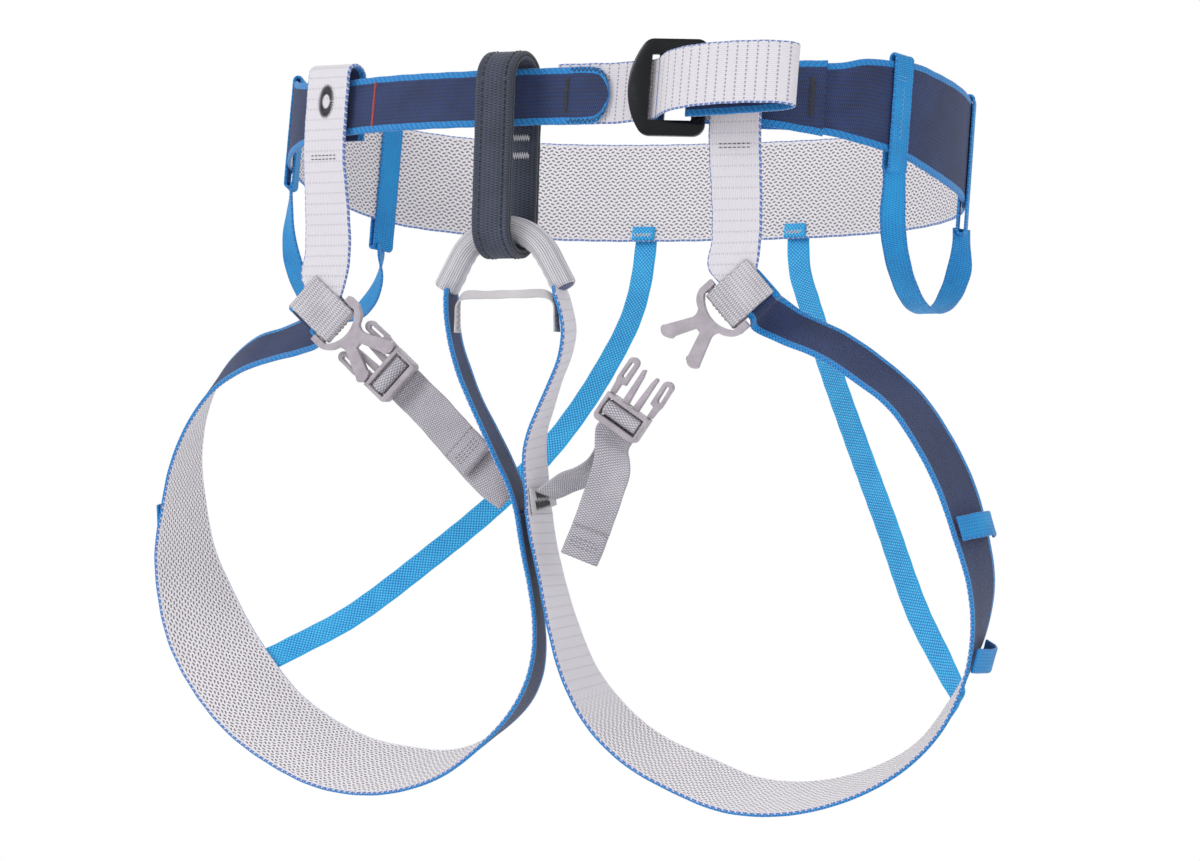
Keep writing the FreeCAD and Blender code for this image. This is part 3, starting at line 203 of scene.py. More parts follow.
def light_face(name, dotted):
    """Light grey lining: fine lines along the webbing, dotted lines across it, and, where the
    webbing is wide, rows of dark wavy dashes. dotted is how strong the lines across are."""
    made = Shader(name, sheen=0.2)
    across, along = made.uv("weave")
    edge, width = made.uv("zone")
    fine = made.wave(across, 0.95)
    dots = made.math("MULTIPLY", made.wave(across, 1.9), made.step(made.wave(along, 5.2), 0.9, 1.0))
    plain_tone = made.math("MULTIPLY_ADD", fine, 0.28, made.math("MULTIPLY", dots, -dotted))
    plain = made.mix(made.step(plain_tone, -0.9, 0.4), linear("#8F8B98"), linear("#DEDAE1"))

    sway = made.math("MULTIPLY", made.math("SINE", made.math("MULTIPLY", along, 2 * math.pi / 5.6)), 0.42)
    rows = made.math("DIVIDE", made.math("ADD", across, sway), 1.75)
    odd = made.math("MODULO", made.math("ABSOLUTE", made.math("FLOOR", rows)), 2.0)
    place = made.math("ADD", made.math("DIVIDE", along, 2.8), made.math("MULTIPLY", odd, 0.5))
    dash_along = made.step(made.wave(place, 1.0), 0.2, 0.55)
    dash_across = made.step(made.wave(rows, 1.0), 0.35, 0.8)
    dash = made.math("MULTIPLY", dash_along, dash_across)
    inner = made.step(edge, 0.8, 2.4)
    dash = made.math("MULTIPLY", dash, inner)
    ground = made.mix(made.noise(70.0), linear("#E2DEE3"), linear("#EBE8EC"))
    meshed = made.mix(made.math("MULTIPLY", dash, 0.9), ground, linear("#5C4E56"))

    wide = made.step(width, MESH_START, MESH_FULL)
    made.colour(made.mix(wide, plain, meshed))
    made.rough(fine, 0.66, 0.8)
    flat_height = made.math("SUBTRACT", made.math("MULTIPLY", fine, 0.5), dots)
    mesh_height = made.math("SUBTRACT", made.math("MULTIPLY", made.wave(along, 1.4), 0.3), dash)
    height = made.node("Mix", data_type="FLOAT")
    made.link(wide, height.inputs[0])
    made.link(flat_height, height.inputs[2])
    made.link(mesh_height, height.inputs[3])
    grain = made.math("MULTIPLY", made.noise(2400.0, 2.0), 0.3)
    made.bump(made.math("ADD", height.outputs[0], grain), 0.3 * MM)
    return made


def woven_edge(name, bright, deep, fleck, fleck_share):
    """A woven edge: slanting stitches along the webbing, with flecks of the other yarn."""
    made = Shader(name, sheen=0.2)
    across, along = made.uv("weave")
    slant = made.math("ADD", along, made.math("MULTIPLY", across, 0.8))
    cord = made.wave(slant, 1.5)
    back = made.wave(made.math("SUBTRACT", along, made.math("MULTIPLY", across, 0.8)), 3.0)
    body = made.mix(made.step(cord, 0.15, 0.75), linear(deep), linear(bright))
    flecks = made.math("MULTIPLY", made.step(back, 0.72, 0.95), fleck_share)
    made.colour(made.mix(flecks, body, linear(fleck)))
    made.rough(cord, 0.6, 0.78)
    made.bump(made.math("MAXIMUM", cord, back), 0.3 * MM)
    return made


def checked(name, high, low, pitch, depth=0.2 * MM, sheen=0.2, slant=1.0):
    """A diagonal check, as on elastic and on plain buckle webbing."""
    made = Shader(name, sheen=sheen)
    across, along = made.uv("weave")
    leaning = made.math("MULTIPLY", across, slant)
    one = made.wave(made.math("ADD", along, leaning), pitch)
    two = made.wave(made.math("SUBTRACT", along, leaning), pitch)
    check = made.math("MULTIPLY", one, two)
    blotch = made.math("MULTIPLY", made.math("SUBTRACT", made.noise(60.0), 0.5), 0.5)
    tone = made.math("ADD", check, blotch)
    made.colour(made.mix(made.step(tone, 0.0, 0.55), linear(low), linear(high)))
    made.rough(check, 0.6, 0.8)
    made.bump(check, depth)
    return made


def knitted():
    """The tie-in sleeve: columns of small knit stitches along a tube."""
    made = Shader("sleeve_knit", sheen=0.3)
    across, along = made.uv("weave")
    column = made.wave(across, 1.15)
    lean = made.math("MULTIPLY", column, 0.45)
    loops = made.wave(made.math("ADD", along, lean), 0.95)
    knit = made.math("MULTIPLY_ADD", loops, 0.45, made.math("MULTIPLY", column, 0.55))
    broad = made.wave(across, 4.6)
    tone = made.math("MULTIPLY_ADD", broad, 0.1, knit)
    made.colour(made.mix(made.step(tone, 0.1, 0.8), linear("#77757F"), linear("#D9D7DD")))
    made.rough(knit, 0.7, 0.88)
    made.bump(knit, 0.28 * MM)
    return made


def plastic():
    """Satin moulded acetal, a little mottled, paler where it is rubbed."""
    made = Shader("grey_plastic", specular=0.45)
    mottle = made.noise(140.0, 4.0)
    made.colour(made.mix(made.step(mottle, 0.3, 0.7), linear("#9F97A0"), linear("#B1A9B2")))
    made.rough(made.noise(900.0, 3.0), 0.34, 0.5)
    made.bump(made.noise(3800.0, 2.0), 0.03 * MM, 0.5)
    return made


def black_metal():
    made = Shader("black_anodised", metallic=0.85, coat=0.35)
    wear = made.step(made.noise(320.0, 5.0, 0.7), 0.62, 0.8)
    made.colour(made.mix(wear, linear("#141619"), linear("#35383D")))
    made.rough(made.noise(700.0, 3.0), 0.2, 0.36)
    made.bump(made.noise(2600.0, 2.0), 0.015 * MM, 0.4)
    return made


def brushed_metal():
    made = Shader("satin_steel", metallic=1.0)
    made.colour(made.mix(made.noise(420.0, 4.0), linear("#74777C"), linear("#A9ACB0")))
    made.rough(made.noise(1500.0, 2.0), 0.24, 0.42)
    made.bump(made.noise(5200.0, 1.0), 0.02 * MM, 0.5)
    return made


def thread(name, high, low):
    """Sewing thread: a tight twist along each stitch."""
    made = Shader(name, sheen=0.3)
    twist = made.noise(3000.0, 2.0)
    made.colour(made.mix(made.step(twist, 0.3, 0.7), linear(low), linear(high)))
    made.rough(twist, 0.5, 0.7)
    made.bump(twist, 0.08 * MM)
    return made


# The second colour of each ribbed weave is painted shade in its grooves.
NAVY = ribbed("navy_weave", "#263C70", "#0D1737", 1.05, 1.9, depth=0.25 * MM, sheen=0.08).material
LIGHT = light_face("light_weave", 0.3).material
LIGHT_DOTTED = light_face("light_dotted_weave", 1.0).material
EDGE = woven_edge("blue_edge", "#1496E0", "#0A6BB4", "#083F78", 0.55).material
EDGE_LIGHT = woven_edge("blue_and_grey_edge", "#6E8FC6", "#4A5FA8", "#D6D3DC", 0.9).material
STRAP = checked("strap_weave", "#CDCAD1", "#85828D", 1.25, depth=0.22 * MM, slant=0.5).material
ANCHOR = ribbed("anchor_weave", "#D2CFD5", "#8E8B94", 1.15, 2.2, sheen=0.15, lengthwise=True).material
STRAP_EDGE = checked("strap_edge", "#C2BFC6", "#8F8C95", 0.9).material
PALE = checked("pale_tab_weave", "#DEDBDD", "#B2AEB2", 1.1).material
BELAY = ribbed("belay_weave", "#464E64", "#191D2B", 1.3, 2.4, depth=0.5 * MM, sheen=0.1).material
BELAY_EDGE = checked("belay_edge", "#3E4655", "#191D26", 1.1, depth=0.3 * MM).material
SLEEVE = knitted().material
ELASTIC = checked("elastic_weave", "#48CEFB", "#067BC4", 2.0, depth=0.2 * MM).material
ELASTIC_EDGE = ribbed("elastic_edge", "#33BBF3", "#1491D4", 0.9, 1.2, sheen=0.1).material
GEAR = ribbed("gear_weave", "#18A0E2", "#0669AE", 1.1, 1.6, depth=0.22 * MM, sheen=0.1).material
PLASTIC = plastic().material
BLACK_METAL = black_metal().material
STEEL = brushed_metal().material
BLACK_THREAD = thread("black_thread", "#2B2E34", "#0C0D10").material
GREY_THREAD = thread("grey_thread", "#8F8C95", "#5F5C66").material
PALE_THREAD = thread("pale_thread", "#E2E2E6", "#9EA0A8").material
BLUE_THREAD = thread("blue_thread", "#7CC6EC", "#2C86BD").material
RED_THREAD = thread("red_thread", "#D8492F", "#9A2E1E").material
SLATE_THREAD = thread("slate_thread", "#262C38", "#10131A").material

# ---------------------------------------------------------------- pieces


def piece(name, bm, materials, node=None, body=None, slot=None):
    """Turns a bmesh into a piece that rides on a body and stands for a CAD node."""
    bmesh.ops.recalc_face_normals(bm, faces=bm.faces)
    mesh = bpy.data.meshes.new(name)
    bm.to_mesh(mesh)
    bm.free()
    for material in materials:
        mesh.materials.append(material)
    for polygon in mesh.polygons:
        polygon.use_smooth = True
    obj = bpy.data.objects.new(name, mesh)
    bpy.context.scene.collection.objects.link(obj)
    if node:
        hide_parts(node)
    if node or slot:
        slot or SLOT_OF[node]
    if body is None and node:
        body = BODY_OF[node]
    if body:
        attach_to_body(obj, body)
    return obj


# ---------------------------------------------------------------- stations of the CAD webbings

# The same stations as the CAD solids, in millimetres: (middle point, width vector), where the
# width vector runs from the front edge to the rear edge.


def V(x, y, z):
    return Vector((x, y, z))


WAIST_HALF_WIDTH, WAIST_HALF_DEPTH = 174.0, 112.5
WAIST_ROUNDNESS = 2.5
TILT = Matrix.Rotation(math.radians(-9.7), 3, "X")
UP = V(0, 0, 1)
FRONT_WIDTH = 28.0
STRAP_WIDTH = 30.0
ELASTIC_WIDTH = 12.5
LEFT, RIGHT = -1, 1


def ring_point(angle):
    """The waist ring's middle line, flat. 0 is the front centre, 90 the +X hip, 180 the back."""
    power = 2.0 / WAIST_ROUNDNESS
    side, front = math.sin(math.radians(angle)), math.cos(math.radians(angle))
    x = WAIST_HALF_WIDTH * math.copysign(abs(side) ** power, side)
    return V(x, -WAIST_HALF_DEPTH * math.copysign(abs(front) ** power, front), 0)


def ring_outward(angle):
    ahead = ring_point(angle + 0.5) - ring_point(angle - 0.5)
    return V(ahead.y, -ahead.x, 0).normalized()


def ring_angle(x):
    """The angle, on the front half, of the ring's point at this x."""
    ratio = abs(x) / WAIST_HALF_WIDTH
    return math.copysign(math.degrees(math.asin(ratio ** (WAIST_ROUNDNESS / 2.0))), x)


def off_ring(x, offset, lift=0.0):
    angle = ring_angle(x)
    return ring_point(angle) + ring_outward(angle) * offset + V(0, 0, lift)


# (angle from the front centre, width, rise of the middle line)
WAIST_PROFILE = [
    (0, 28.0, 0.0),
    (32, 28.0, 1.0),
    (50, 33.0, 3.0),
    (65, 42.0, 5.5),
    (78, 48.0, 6.0),
    (92, 51.5, 4.0),
    (115, 52.0, 1.5),
    (180, 52.0, 2.0),
]


def waist_profile(angle):
    """Width and rise of the waist webbing at an angle, the same on both sides."""
    turn = abs((angle + 180.0) % 360.0 - 180.0)
    for (low, w_low, r_low), (high, w_high, r_high) in zip(WAIST_PROFILE, WAIST_PROFILE[1:]):
        if turn <= high:
            share = (turn - low) / (high - low)
            share = share * share * (3.0 - 2.0 * share)
            return w_low + (w_high - w_low) * share, r_low + (r_high - r_low) * share
    return WAIST_PROFILE[-1][1:]


TIP_X, TIP_ROUND = 40.0, 9.0
BUCKLE_ORIGIN = V(83.0, -110.2, 2.0)
BUCKLE_YAW = math.radians(13.0)
REAR_BAR_X, REAR_BAR_N = 13.0, -3.75
WRAP_RADIUS = 2.6
# (x, offset outward, width) on the way to the buckle and folded back from it
TO_BUCKLE = [(119, -0.6, 30), (111, -1.2, 28.5), (104, -1.6, 28)]
FROM_BUCKLE = [(102.4, 3.1, 28), (110, 1.7, 28.5), (122, 1.9, 30), (134, 2.2, 34), (145, 2.2, 37)]


def buckle_point(along, outward, up=0.0):
    """A point of the waist buckle's own axes in the flat ring frame."""
    x_axis = V(math.cos(BUCKLE_YAW), math.sin(BUCKLE_YAW), 0)
    out_axis = V(math.sin(BUCKLE_YAW), -math.cos(BUCKLE_YAW), 0)
    return BUCKLE_ORIGIN + x_axis * along + out_axis * outward + V(0, 0, up)


def waist_stations():
    """From the rounded tip, round the hips, to the buckle's rear bar and back along the outside."""
    stations = []
    for step in range(6):
        swing = math.radians(84 - 14 * step)
        middle = off_ring(TIP_X + TIP_ROUND * math.sin(swing), 0.3)
        stations.append((middle, UP * (FRONT_WIDTH * math.cos(swing))))
    angle = ring_angle(TIP_X) - 6.0
    end_angle = ring_angle(124.0) - 360.0
    while angle > end_angle:
        width, rise = waist_profile(angle)
        stations.append((ring_point(angle) + V(0, 0, rise), UP * width))
        angle -= 7.5
    for x, offset, wide in TO_BUCKLE:
        stations.append((off_ring(x, offset, 1.0), UP * wide))
    for step in range(7):
        swing = math.radians(30 * step)
        along = REAR_BAR_X - WRAP_RADIUS * math.sin(swing)
        outward = REAR_BAR_N - WRAP_RADIUS * math.cos(swing)
        stations.append((buckle_point(along, outward, -1.0), UP * FRONT_WIDTH))
    for x, offset, wide in FROM_BUCKLE:
        _, rise = waist_profile(ring_angle(x))
        stations.append((off_ring(x, offset, rise), UP * wide))
    return tilted(stations)


def tilted(stations):
    return [(TILT @ middle, TILT @ width) for middle, width in stations]


STRAP_RUN = [(20, -2.3), (32, -2.3), (44, -2.2), (50.5, -1.9), (57, 0.0), (63, 2.2)]
SLOT_RUN = [(70.4, -111.4), (74.6, -113.0), (78.0, -116.2)]
STRAP_RISE = 1.4
TAIL_RUN = [
    (78.9, -117.3, 1.5),
    (81.8, -120.4, 1.8),
    (86.3, -124.2, 2.2),
    (93.3, -127.9, 2.6),
    (105.0, -131.6, 3.0),
    (120.0, -133.8, 3.2),
    (136.0, -134.0, 3.2),
    (147.5, -132.6, 3.0),
    (153.2, -129.8, 2.8),
    (155.0, -126.6, 2.6),
    (153.2, -123.6, 2.4),
    (147.0, -121.4, 2.2),
    (134.0, -119.8, 2.0),
    (120.0, -118.8, 1.8),
    (105.0, -117.8, 1.6),
    (94.0, -117.4, 1.5),
]


def waist_strap_stations():
    wide = UP * STRAP_WIDTH
    stations = [(off_ring(x, offset, STRAP_RISE), wide) for x, offset in STRAP_RUN]
    return tilted(stations + [(V(x, y, STRAP_RISE), wide) for x, y in SLOT_RUN])


def tail_stations():
    return tilted([(V(x, y, z), UP * STRAP_WIDTH) for x, y, z in TAIL_RUN])


class Axes:
    """A buckle's own axes: +X from the hook's bar towards the latch, +Y along the bar, +Z outward."""

    def __init__(self, origin, x_axis, z_axis):
        self.origin = origin
        self.turn = Matrix((x_axis, z_axis.cross(x_axis), z_axis)).transposed()

    def point(self, x, y, z):
        return self.origin + self.turn @ V(x, y, z)

    def direction(self, x, y, z):
        return self.turn @ V(x, y, z)


FACING = math.radians(12.0)
ACROSS = V(math.cos(FACING), math.sin(FACING), 0)
OUTWARD = V(math.sin(FACING), -math.cos(FACING), 0)


def in_face(degrees):
    """A direction in the leg buckles' plane, measured up from level."""
    angle = math.radians(degrees)
    return ACROSS * math.cos(angle) + UP * math.sin(angle)


LATCH_FAR = 45.6
LEFT_BUCKLE = Axes(V(-103.6, -106.6, -88.0), in_face(-43.0), OUTWARD)
RIGHT_HOOK = Axes(V(108.6, -104.6, -83.0), in_face(-139.5), OUTWARD)
RIGHT_LATCH = Axes(V(51.6, -110.0, -141.0) - in_face(-124.5) * LATCH_FAR, in_face(-124.5), OUTWARD)

RISER_WIDTH = 26.0
RISER_SKEW = math.radians(8.0)
RISER_X = {LEFT: (-112.0, -109.6), RIGHT: (113.9, 113.9)}
LOWER_FRONT_Z = -8.0
# Rows of (y, z): up behind the waist webbing, over its top edge and down its front.
RISER_PATH = {
    LEFT: [(-86.6, 2.0), (-85.2, 16.0), (-83.6, 29.0),
           (-86.2, 36.4), (-92.5, 38.8), (-98.8, 36.6),
           (-101.0, 27.0), (-103.0, 13.0), (-104.3, 2.0), (-104.6, -8.0), (-104.4, -32.0), (-105.4, -52.0)],
    RIGHT: [(-84.6, 2.0), (-83.2, 16.0), (-81.6, 29.0),
            (-84.4, 36.6), (-91.5, 39.0), (-99.2, 37.0),
            (-101.9, 27.0), (-104.1, 13.0), (-105.4, 2.0), (-105.4, -8.0), (-103.6, -32.0), (-103.8, -50.0)],
}


def riser_stations(side, buckle, fold):
    """fold gives the last stations in the leg buckle's axes: (x, y, z, width)."""
    top_x, low_x = RISER_X[side]
    stations = []
    for y, z in RISER_PATH[side]:
        drop = min(max((LOWER_FRONT_Z - z) / 40.0, 0.0), 1.0) if y < -100.0 else 0.0
        swing = RISER_SKEW * side * (1.0 - drop)
        width = V(math.cos(swing), math.sin(swing), 0) * RISER_WIDTH
        stations.append((V(top_x + (low_x - top_x) * drop, y, z), width))
    level = buckle.turn.transposed() @ V(1, 0, 0)
    level = V(level.x, level.y, 0).normalized()
    for x, y, z, width in fold:
        stations.append((buckle.point(x, y, z), buckle.turn @ (level * width)))
    return stations


def from_edges(rows):
    """Stations from (front edge point, width vector) pairs written as six numbers."""
    return [(V(*row[:3]) + V(*row[3:]) * 0.5, V(*row[3:])) for row in rows]


FOLD_X, FOLD_Z = -14.4, -1.4


def fold_stations(buckle, rows):
    """Where a leg loop starts, between the two layers of its buckle anchor."""
    return [(buckle.point(FOLD_X, y, FOLD_Z), buckle.direction(-width, 0, 0)) for y, width in rows]


LEFT_LEG = [
    (-118.0, -100.5, -99.6, -9.0, 12.0, 20.0),
    (-130.0, -97.0, -103.0, -7.0, 19.0, 19.5),
    (-153.0, -91.5, -107.0, -3.0, 23.0, 18.0),
    (-171.0, -89.0, -112.0, -5.0, 25.0, 18.0),
    (-190.0, -86.0, -122.0, -8.0, 29.0, 14.0),
    (-205.0, -84.0, -138.0, -9.0, 34.0, 10.0),
    (-216.0, -83.0, -159.0, -7.0, 40.0, 5.0),
    (-222.0, -82.0, -180.0, -1.0, 43.0, 2.0),
    (-226.0, -82.0, -203.0, 8.0, 44.0, 1.0),
    (-224.0, -82.0, -227.0, 17.0, 44.0, 4.0),
    (-217.0, -83.0, -249.0, 21.0, 43.0, 10.0),
    (-203.0, -85.0, -270.0, 21.0, 42.0, 15.0),
    (-181.0, -88.0, -291.0, 18.0, 43.0, 17.0),
    (-153.0, -91.0, -307.0, 14.0, 44.0, 19.0),
    (-124.0, -95.0, -317.0, 9.0, 44.0, 21.0),
    (-97.0, -97.0, -320.0, 4.0, 43.0, 21.0),
    (-71.0, -100.0, -317.0, 1.0, 42.0, 17.0),
    (-47.0, -103.0, -309.0, -3.0, 41.0, 13.0),
    (-24.0, -106.0, -294.0, -4.0, 39.0, 10.0),
    (-8.0, -107.0, -279.0, -6.0, 36.0, 7.0),
    (2.0, -108.0, -264.0, -8.0, 33.0, 5.0),
    (6.6, -108.0, -249.0, -9.5, 30.0, 3.0),
    (7.2, -108.0, -233.0, -10.0, 28.0, 2.0),
    (4.6, -108.0, -216.0, -8.0, 27.0, 1.0),
    (0.8, -108.5, -199.0, -4.5, 26.0, 0.0),
    (-2.4, -109.0, -181.0, -2.0, 26.0, 0.0),
]
RIGHT_LEG = [
    (119.0, -97.4, -93.5, 9.0, 14.0, 16.0),
    (130.0, -94.5, -99.0, 4.0, 22.0, 14.0),
    (150.0, -91.0, -107.0, 3.0, 26.0, 12.0),
    (168.0, -89.0, -118.0, 3.0, 29.0, 10.0),
    (184.0, -87.0, -130.0, 2.0, 34.0, 7.0),
    (197.0, -86.0, -147.0, 2.0, 38.0, 4.0),
    (208.0, -84.0, -168.0, 1.0, 41.0, 2.0),
    (216.0, -83.0, -190.0, -2.0, 44.0, 1.0),
    (223.0, -82.0, -213.0, -7.0, 46.0, 0.0),
    (225.0, -82.0, -236.0, -13.0, 46.0, 1.0),
    (221.0, -83.0, -259.0, -17.0, 46.0, 5.0),
    (210.0, -84.0, -281.0, -17.0, 46.0, 9.0),
    (191.0, -86.0, -300.0, -13.0, 47.0, 10.0),
    (165.0, -89.0, -314.0, -10.0, 48.0, 11.0),
    (134.0, -93.0, -322.0, -8.0, 48.0, 12.0),
    (104.0, -97.0, -321.5, -4.0, 46.0, 13.0),
    (76.0, -100.0, -312.0, 0.0, 43.0, 13.0),
    (52.0, -103.0, -299.0, 2.0, 40.0, 10.0),
    (34.0, -105.0, -282.0, 4.0, 37.0, 6.0),
    (22.0, -107.0, -260.0, 2.0, 33.0, 3.0),
    (15.0, -108.0, -236.0, 0.0, 30.0, 2.0),
    (9.6, -108.0, -211.0, -1.5, 28.0, 0.0),
    (5.2, -108.5, -192.0, -1.0, 27.0, 0.0),
    (3.4, -109.0, -181.0, 0.0, 26.0, 0.0),
]
LEFT_BRIDGE = [
    (-3.6, -109.0, -176.5, -5.0, 24.5, 2.0),
    (-6.6, -110.0, -167.0, -6.0, 24.0, 3.0),
    (-11.5, -111.5, -156.5, -6.0, 24.0, 4.0),
    (-17.0, -113.5, -143.5, -6.0, 22.5, 4.0),
    (-23.0, -116.5, -128.5, -6.0, 21.5, 3.0),
    (-28.0, -119.5, -114.5, -5.0, 21.0, 3.0),
    (-31.0, -122.5, -100.0, -5.0, 20.5, 2.0),
    (-31.5, -126.0, -86.0, -4.0, 20.0, 1.0),
    (-30.6, -128.0, -76.0, -4.0, 19.5, 0.0),
]
RIGHT_BRIDGE = [
    (3.4, -109.0, -176.5, 0.0, 24.5, 0.0),
    (3.2, -110.5, -165.0, 0.0, 24.0, 2.0),
    (3.8, -112.5, -153.5, 0.0, 23.0, 3.0),
    (7.0, -114.5, -143.5, -1.0, 22.0, 3.0),
    (13.0, -116.5, -132.5, -2.0, 21.5, 3.0),
    (21.0, -119.0, -119.5, -4.0, 21.0, 3.0),
    (28.0, -121.5, -107.0, -4.0, 20.5, 3.0),
    (31.5, -124.0, -94.0, -4.0, 20.5, 2.0),
    (31.0, -126.5, -83.0, -4.0, 20.0, 1.0),
    (29.0, -128.0, -75.5, -3.0, 19.5, 0.0),
]
KEEPER = [
    (-28.4, -122.5, -94.0, 0.0, 6.0, 0.0),
    (-28.0, -122.5, -86.0, 0.0, 5.0, 0.0),
    (-27.4, -122.5, -80.6, 0.0, 4.2, 2.0),
    (-24.0, -122.0, -78.4, 0.0, 0.6, 4.0),
    (-10.0, -122.0, -78.0, 0.0, 0.0, 4.0),
    (8.0, -122.0, -77.8, 0.0, 0.0, 4.0),
    (22.0, -122.0, -78.2, 0.0, 0.6, 4.0),
    (25.6, -122.5, -80.8, 0.0, 4.2, 2.0),
    (26.0, -122.5, -87.0, 0.0, 5.0, 0.0),
    (26.2, -122.5, -94.0, 0.0, 6.0, 0.0),
]
TAB_X = 5.1
CROSSING_TAB = [
    (TAB_X, -108.4, -168.6, 0.0, 24.0, 0.6),
    (TAB_X, -107.2, -175.0, 0.0, 25.0, 1.0),
    (TAB_X, -105.4, -181.6, 0.0, 24.0, 4.6),
]
STRAP_WRAP = [
    (50.0, -7.8),
    (42.0, -7.8),
    (37.4, -7.6),
    (35.4, -6.3),
    (34.9, -3.6),
    (34.9, -0.2),
    (35.4, 1.7),
    (36.6, 2.7),
    (38.0, 3.0),
    (39.4, 2.7),
    (40.5, 1.7),
    (40.9, -0.6),
    (40.9, -3.2),
    (41.5, -5.0),
    (43.0, -5.9),
    (46.0, -6.1),
    (50.0, -6.1),
]
LEFT_STRAP_IN = [
    (V(-12.2, -99.5, -175.0), V(2.0, 11.0, 8.0)),
    (V(-16.0, -99.2, -170.6), V(5.0, 8.0, 12.0)),
    (V(-22.4, -98.4, -164.4), V(9.4, 5.0, 14.4)),
    (V(-31.0, -96.8, -156.4), V(12.3, 3.4, 14.4)),
    (V(-44.0, -94.2, -145.0), V(12.9, 2.8, 14.2)),
    (V(-57.0, -92.0, -133.2), V(12.9, 2.8, 14.2)),
]
LEFT_STRAP_OUT = [
    (V(-57.5, -95.0, -130.6), V(12.9, 2.8, 14.2)),
    (V(-44.6, -97.6, -141.6), V(12.9, 2.8, 14.2)),
    (V(-38.6, -98.8, -146.6), V(12.9, 2.8, 14.2)),
]
LEFT_HEM = [
    (V(-38.2, -98.9, -146.9), V(12.9, 2.8, 14.2)),
    (V(-33.0, -99.9, -151.2), V(12.9, 2.8, 14.2)),
    (V(-27.6, -101.0, -155.8), V(12.9, 2.8, 14.2)),
]
RIGHT_STRAP_IN = [
    (V(8.8, -98.5, -172.0), V(0.3, 18.6, -4.0)),
    (V(13.4, -98.0, -169.6), V(-0.4, 18.2, -6.4)),
    (V(20.0, -97.6, -166.0), V(-1.6, 17.4, -8.6)),
    (V(28.0, -97.4, -163.4), V(-1.0, 17.4, -8.8)),
    (V(35.5, -97.8, -160.4), V(2.0, 16.6, -9.6)),
    (V(42.0, -98.8, -156.4), V(8.0, 12.6, -11.8)),
    (V(46.4, -100.6, -151.0), V(13.6, 6.0, -12.2)),
]
RIGHT_STRAP_OUT = [
    (V(49.0, -106.4, -150.5), V(17.2, 3.2, -8.4)),
    (V(49.6, -107.8, -158.0), V(18.1, 3.2, -6.2)),
    (V(45.8, -109.0, -171.0), V(18.2, 3.3, -5.9)),
    (V(39.4, -110.0, -188.4), V(18.1, 3.4, -6.3)),
]
RIGHT_HEM = [
    (V(39.2, -110.0, -188.8), V(18.1, 3.4, -6.3)),
    (V(36.2, -110.4, -196.0), V(18.0, 3.4, -6.6)),
    (V(33.4, -110.8, -202.4), V(17.9, 3.4, -6.9)),
]
ELASTIC_RUNS = {
    "left": [
        (-45.0, 103.0, -65.0, 12.5, 0.0, -1.0),
        (-46.0, 93.0, -84.0, 12.3, 0.0, -2.4),
        (-53.0, 80.0, -108.0, 11.7, 0.0, -4.4),
        (-62.0, 66.0, -131.0, 11.2, -0.2, -5.6),
        (-73.0, 52.0, -152.0, 10.5, -0.4, -6.8),
        (-92.0, 33.0, -178.0, 9.6, -0.6, -8.0),
        (-118.0, 7.0, -207.0, 9.0, -0.8, -8.6),
        (-149.0, -17.5, -236.0, 8.8, -0.9, -8.8),
        (-172.0, -32.4, -250.6, 8.5, -1.0, -9.1),
        (-182.0, -40.1, -256.8, 8.2, -1.0, -9.4),
        (-184.6, -44.3, -258.3, 8.2, -1.0, -9.4),
        (-187.1, -49.5, -260.0, 8.2, -1.0, -9.4),
    ],
    "right": [
        (47.0, 104.0, -59.0, 12.3, 0.0, 2.0),
        (57.0, 94.0, -76.0, 11.4, 0.0, 5.0),
        (79.0, 72.0, -109.0, 10.6, 0.0, 6.6),
        (107.0, 45.0, -148.0, 10.3, 0.0, 7.0),
        (135.0, 18.0, -186.0, 10.2, 0.0, 7.1),
        (165.0, -10.0, -229.0, 10.0, 0.2, 7.4),
        (186.0, -24.4, -255.0, 9.2, -2.2, 7.9),
        (197.1, -33.8, -268.5, 8.0, -5.3, 8.0),
        (197.3, -39.2, -272.6, 8.0, -5.3, 8.0),
        (197.4, -44.2, -276.1, 8.0, -5.3, 8.0),
    ],
}
ELASTIC_X = {"left": -44.0, "right": 44.0}
STRIPS = {
    "gear_strip_front_right": (73.5, 29.6, -23.6),
    "gear_strip_rear_right": (107.0, 28.4, -37.0),
    "gear_strip_front_left": (-73.5, 29.6, -23.6),
    "gear_strip_rear_left": (-110.0, 28.4, -37.0),
}
GEAR_LOOP = [
    (0.000, 5.6, 7.0, 10.3, 0.0),
    (-0.012, 14.0, 8.6, 9.0, 0.0),
    (-0.024, 25.0, 10.6, 6.6, 0.0),
    (0.020, 38.0, 12.0, 2.0, 1.4),
    (0.130, 49.0, 12.3, 0.0, 1.6),
    (0.300, 55.5, 12.4, 0.0, 0.6),
    (0.500, 54.0, 12.5, 0.0, 0.0),
    (0.720, 44.5, 12.4, 0.6, 0.0),
    (0.880, 31.0, 12.0, 3.0, -1.0),
    (0.980, 17.0, 9.0, 8.2, -2.0),
    (1.000, 5.6, 4.0, 11.7, -1.0),
]
HOLDER_BULGE = [(0.07, 0.0), (0.2, 2.8), (0.36, 5.6), (0.52, 6.6), (0.68, 5.6), (0.84, 2.8), (0.95, 0.0)]
LEG_STRAP_WIDTH = 19.4
ANCHOR_LENGTH, ANCHOR_WIDTH, ANCHOR_MIDDLE = 23.0, 20.5, 3.25


def through_latch(latch, before, after):
    """A leg strap: the strand from the crotch, its turn round the latch's bar and its tail."""
    width = latch.direction(0, LEG_STRAP_WIDTH, 0)
    return before + [(latch.point(x, 0, z), width) for x, z in STRAP_WRAP] + after


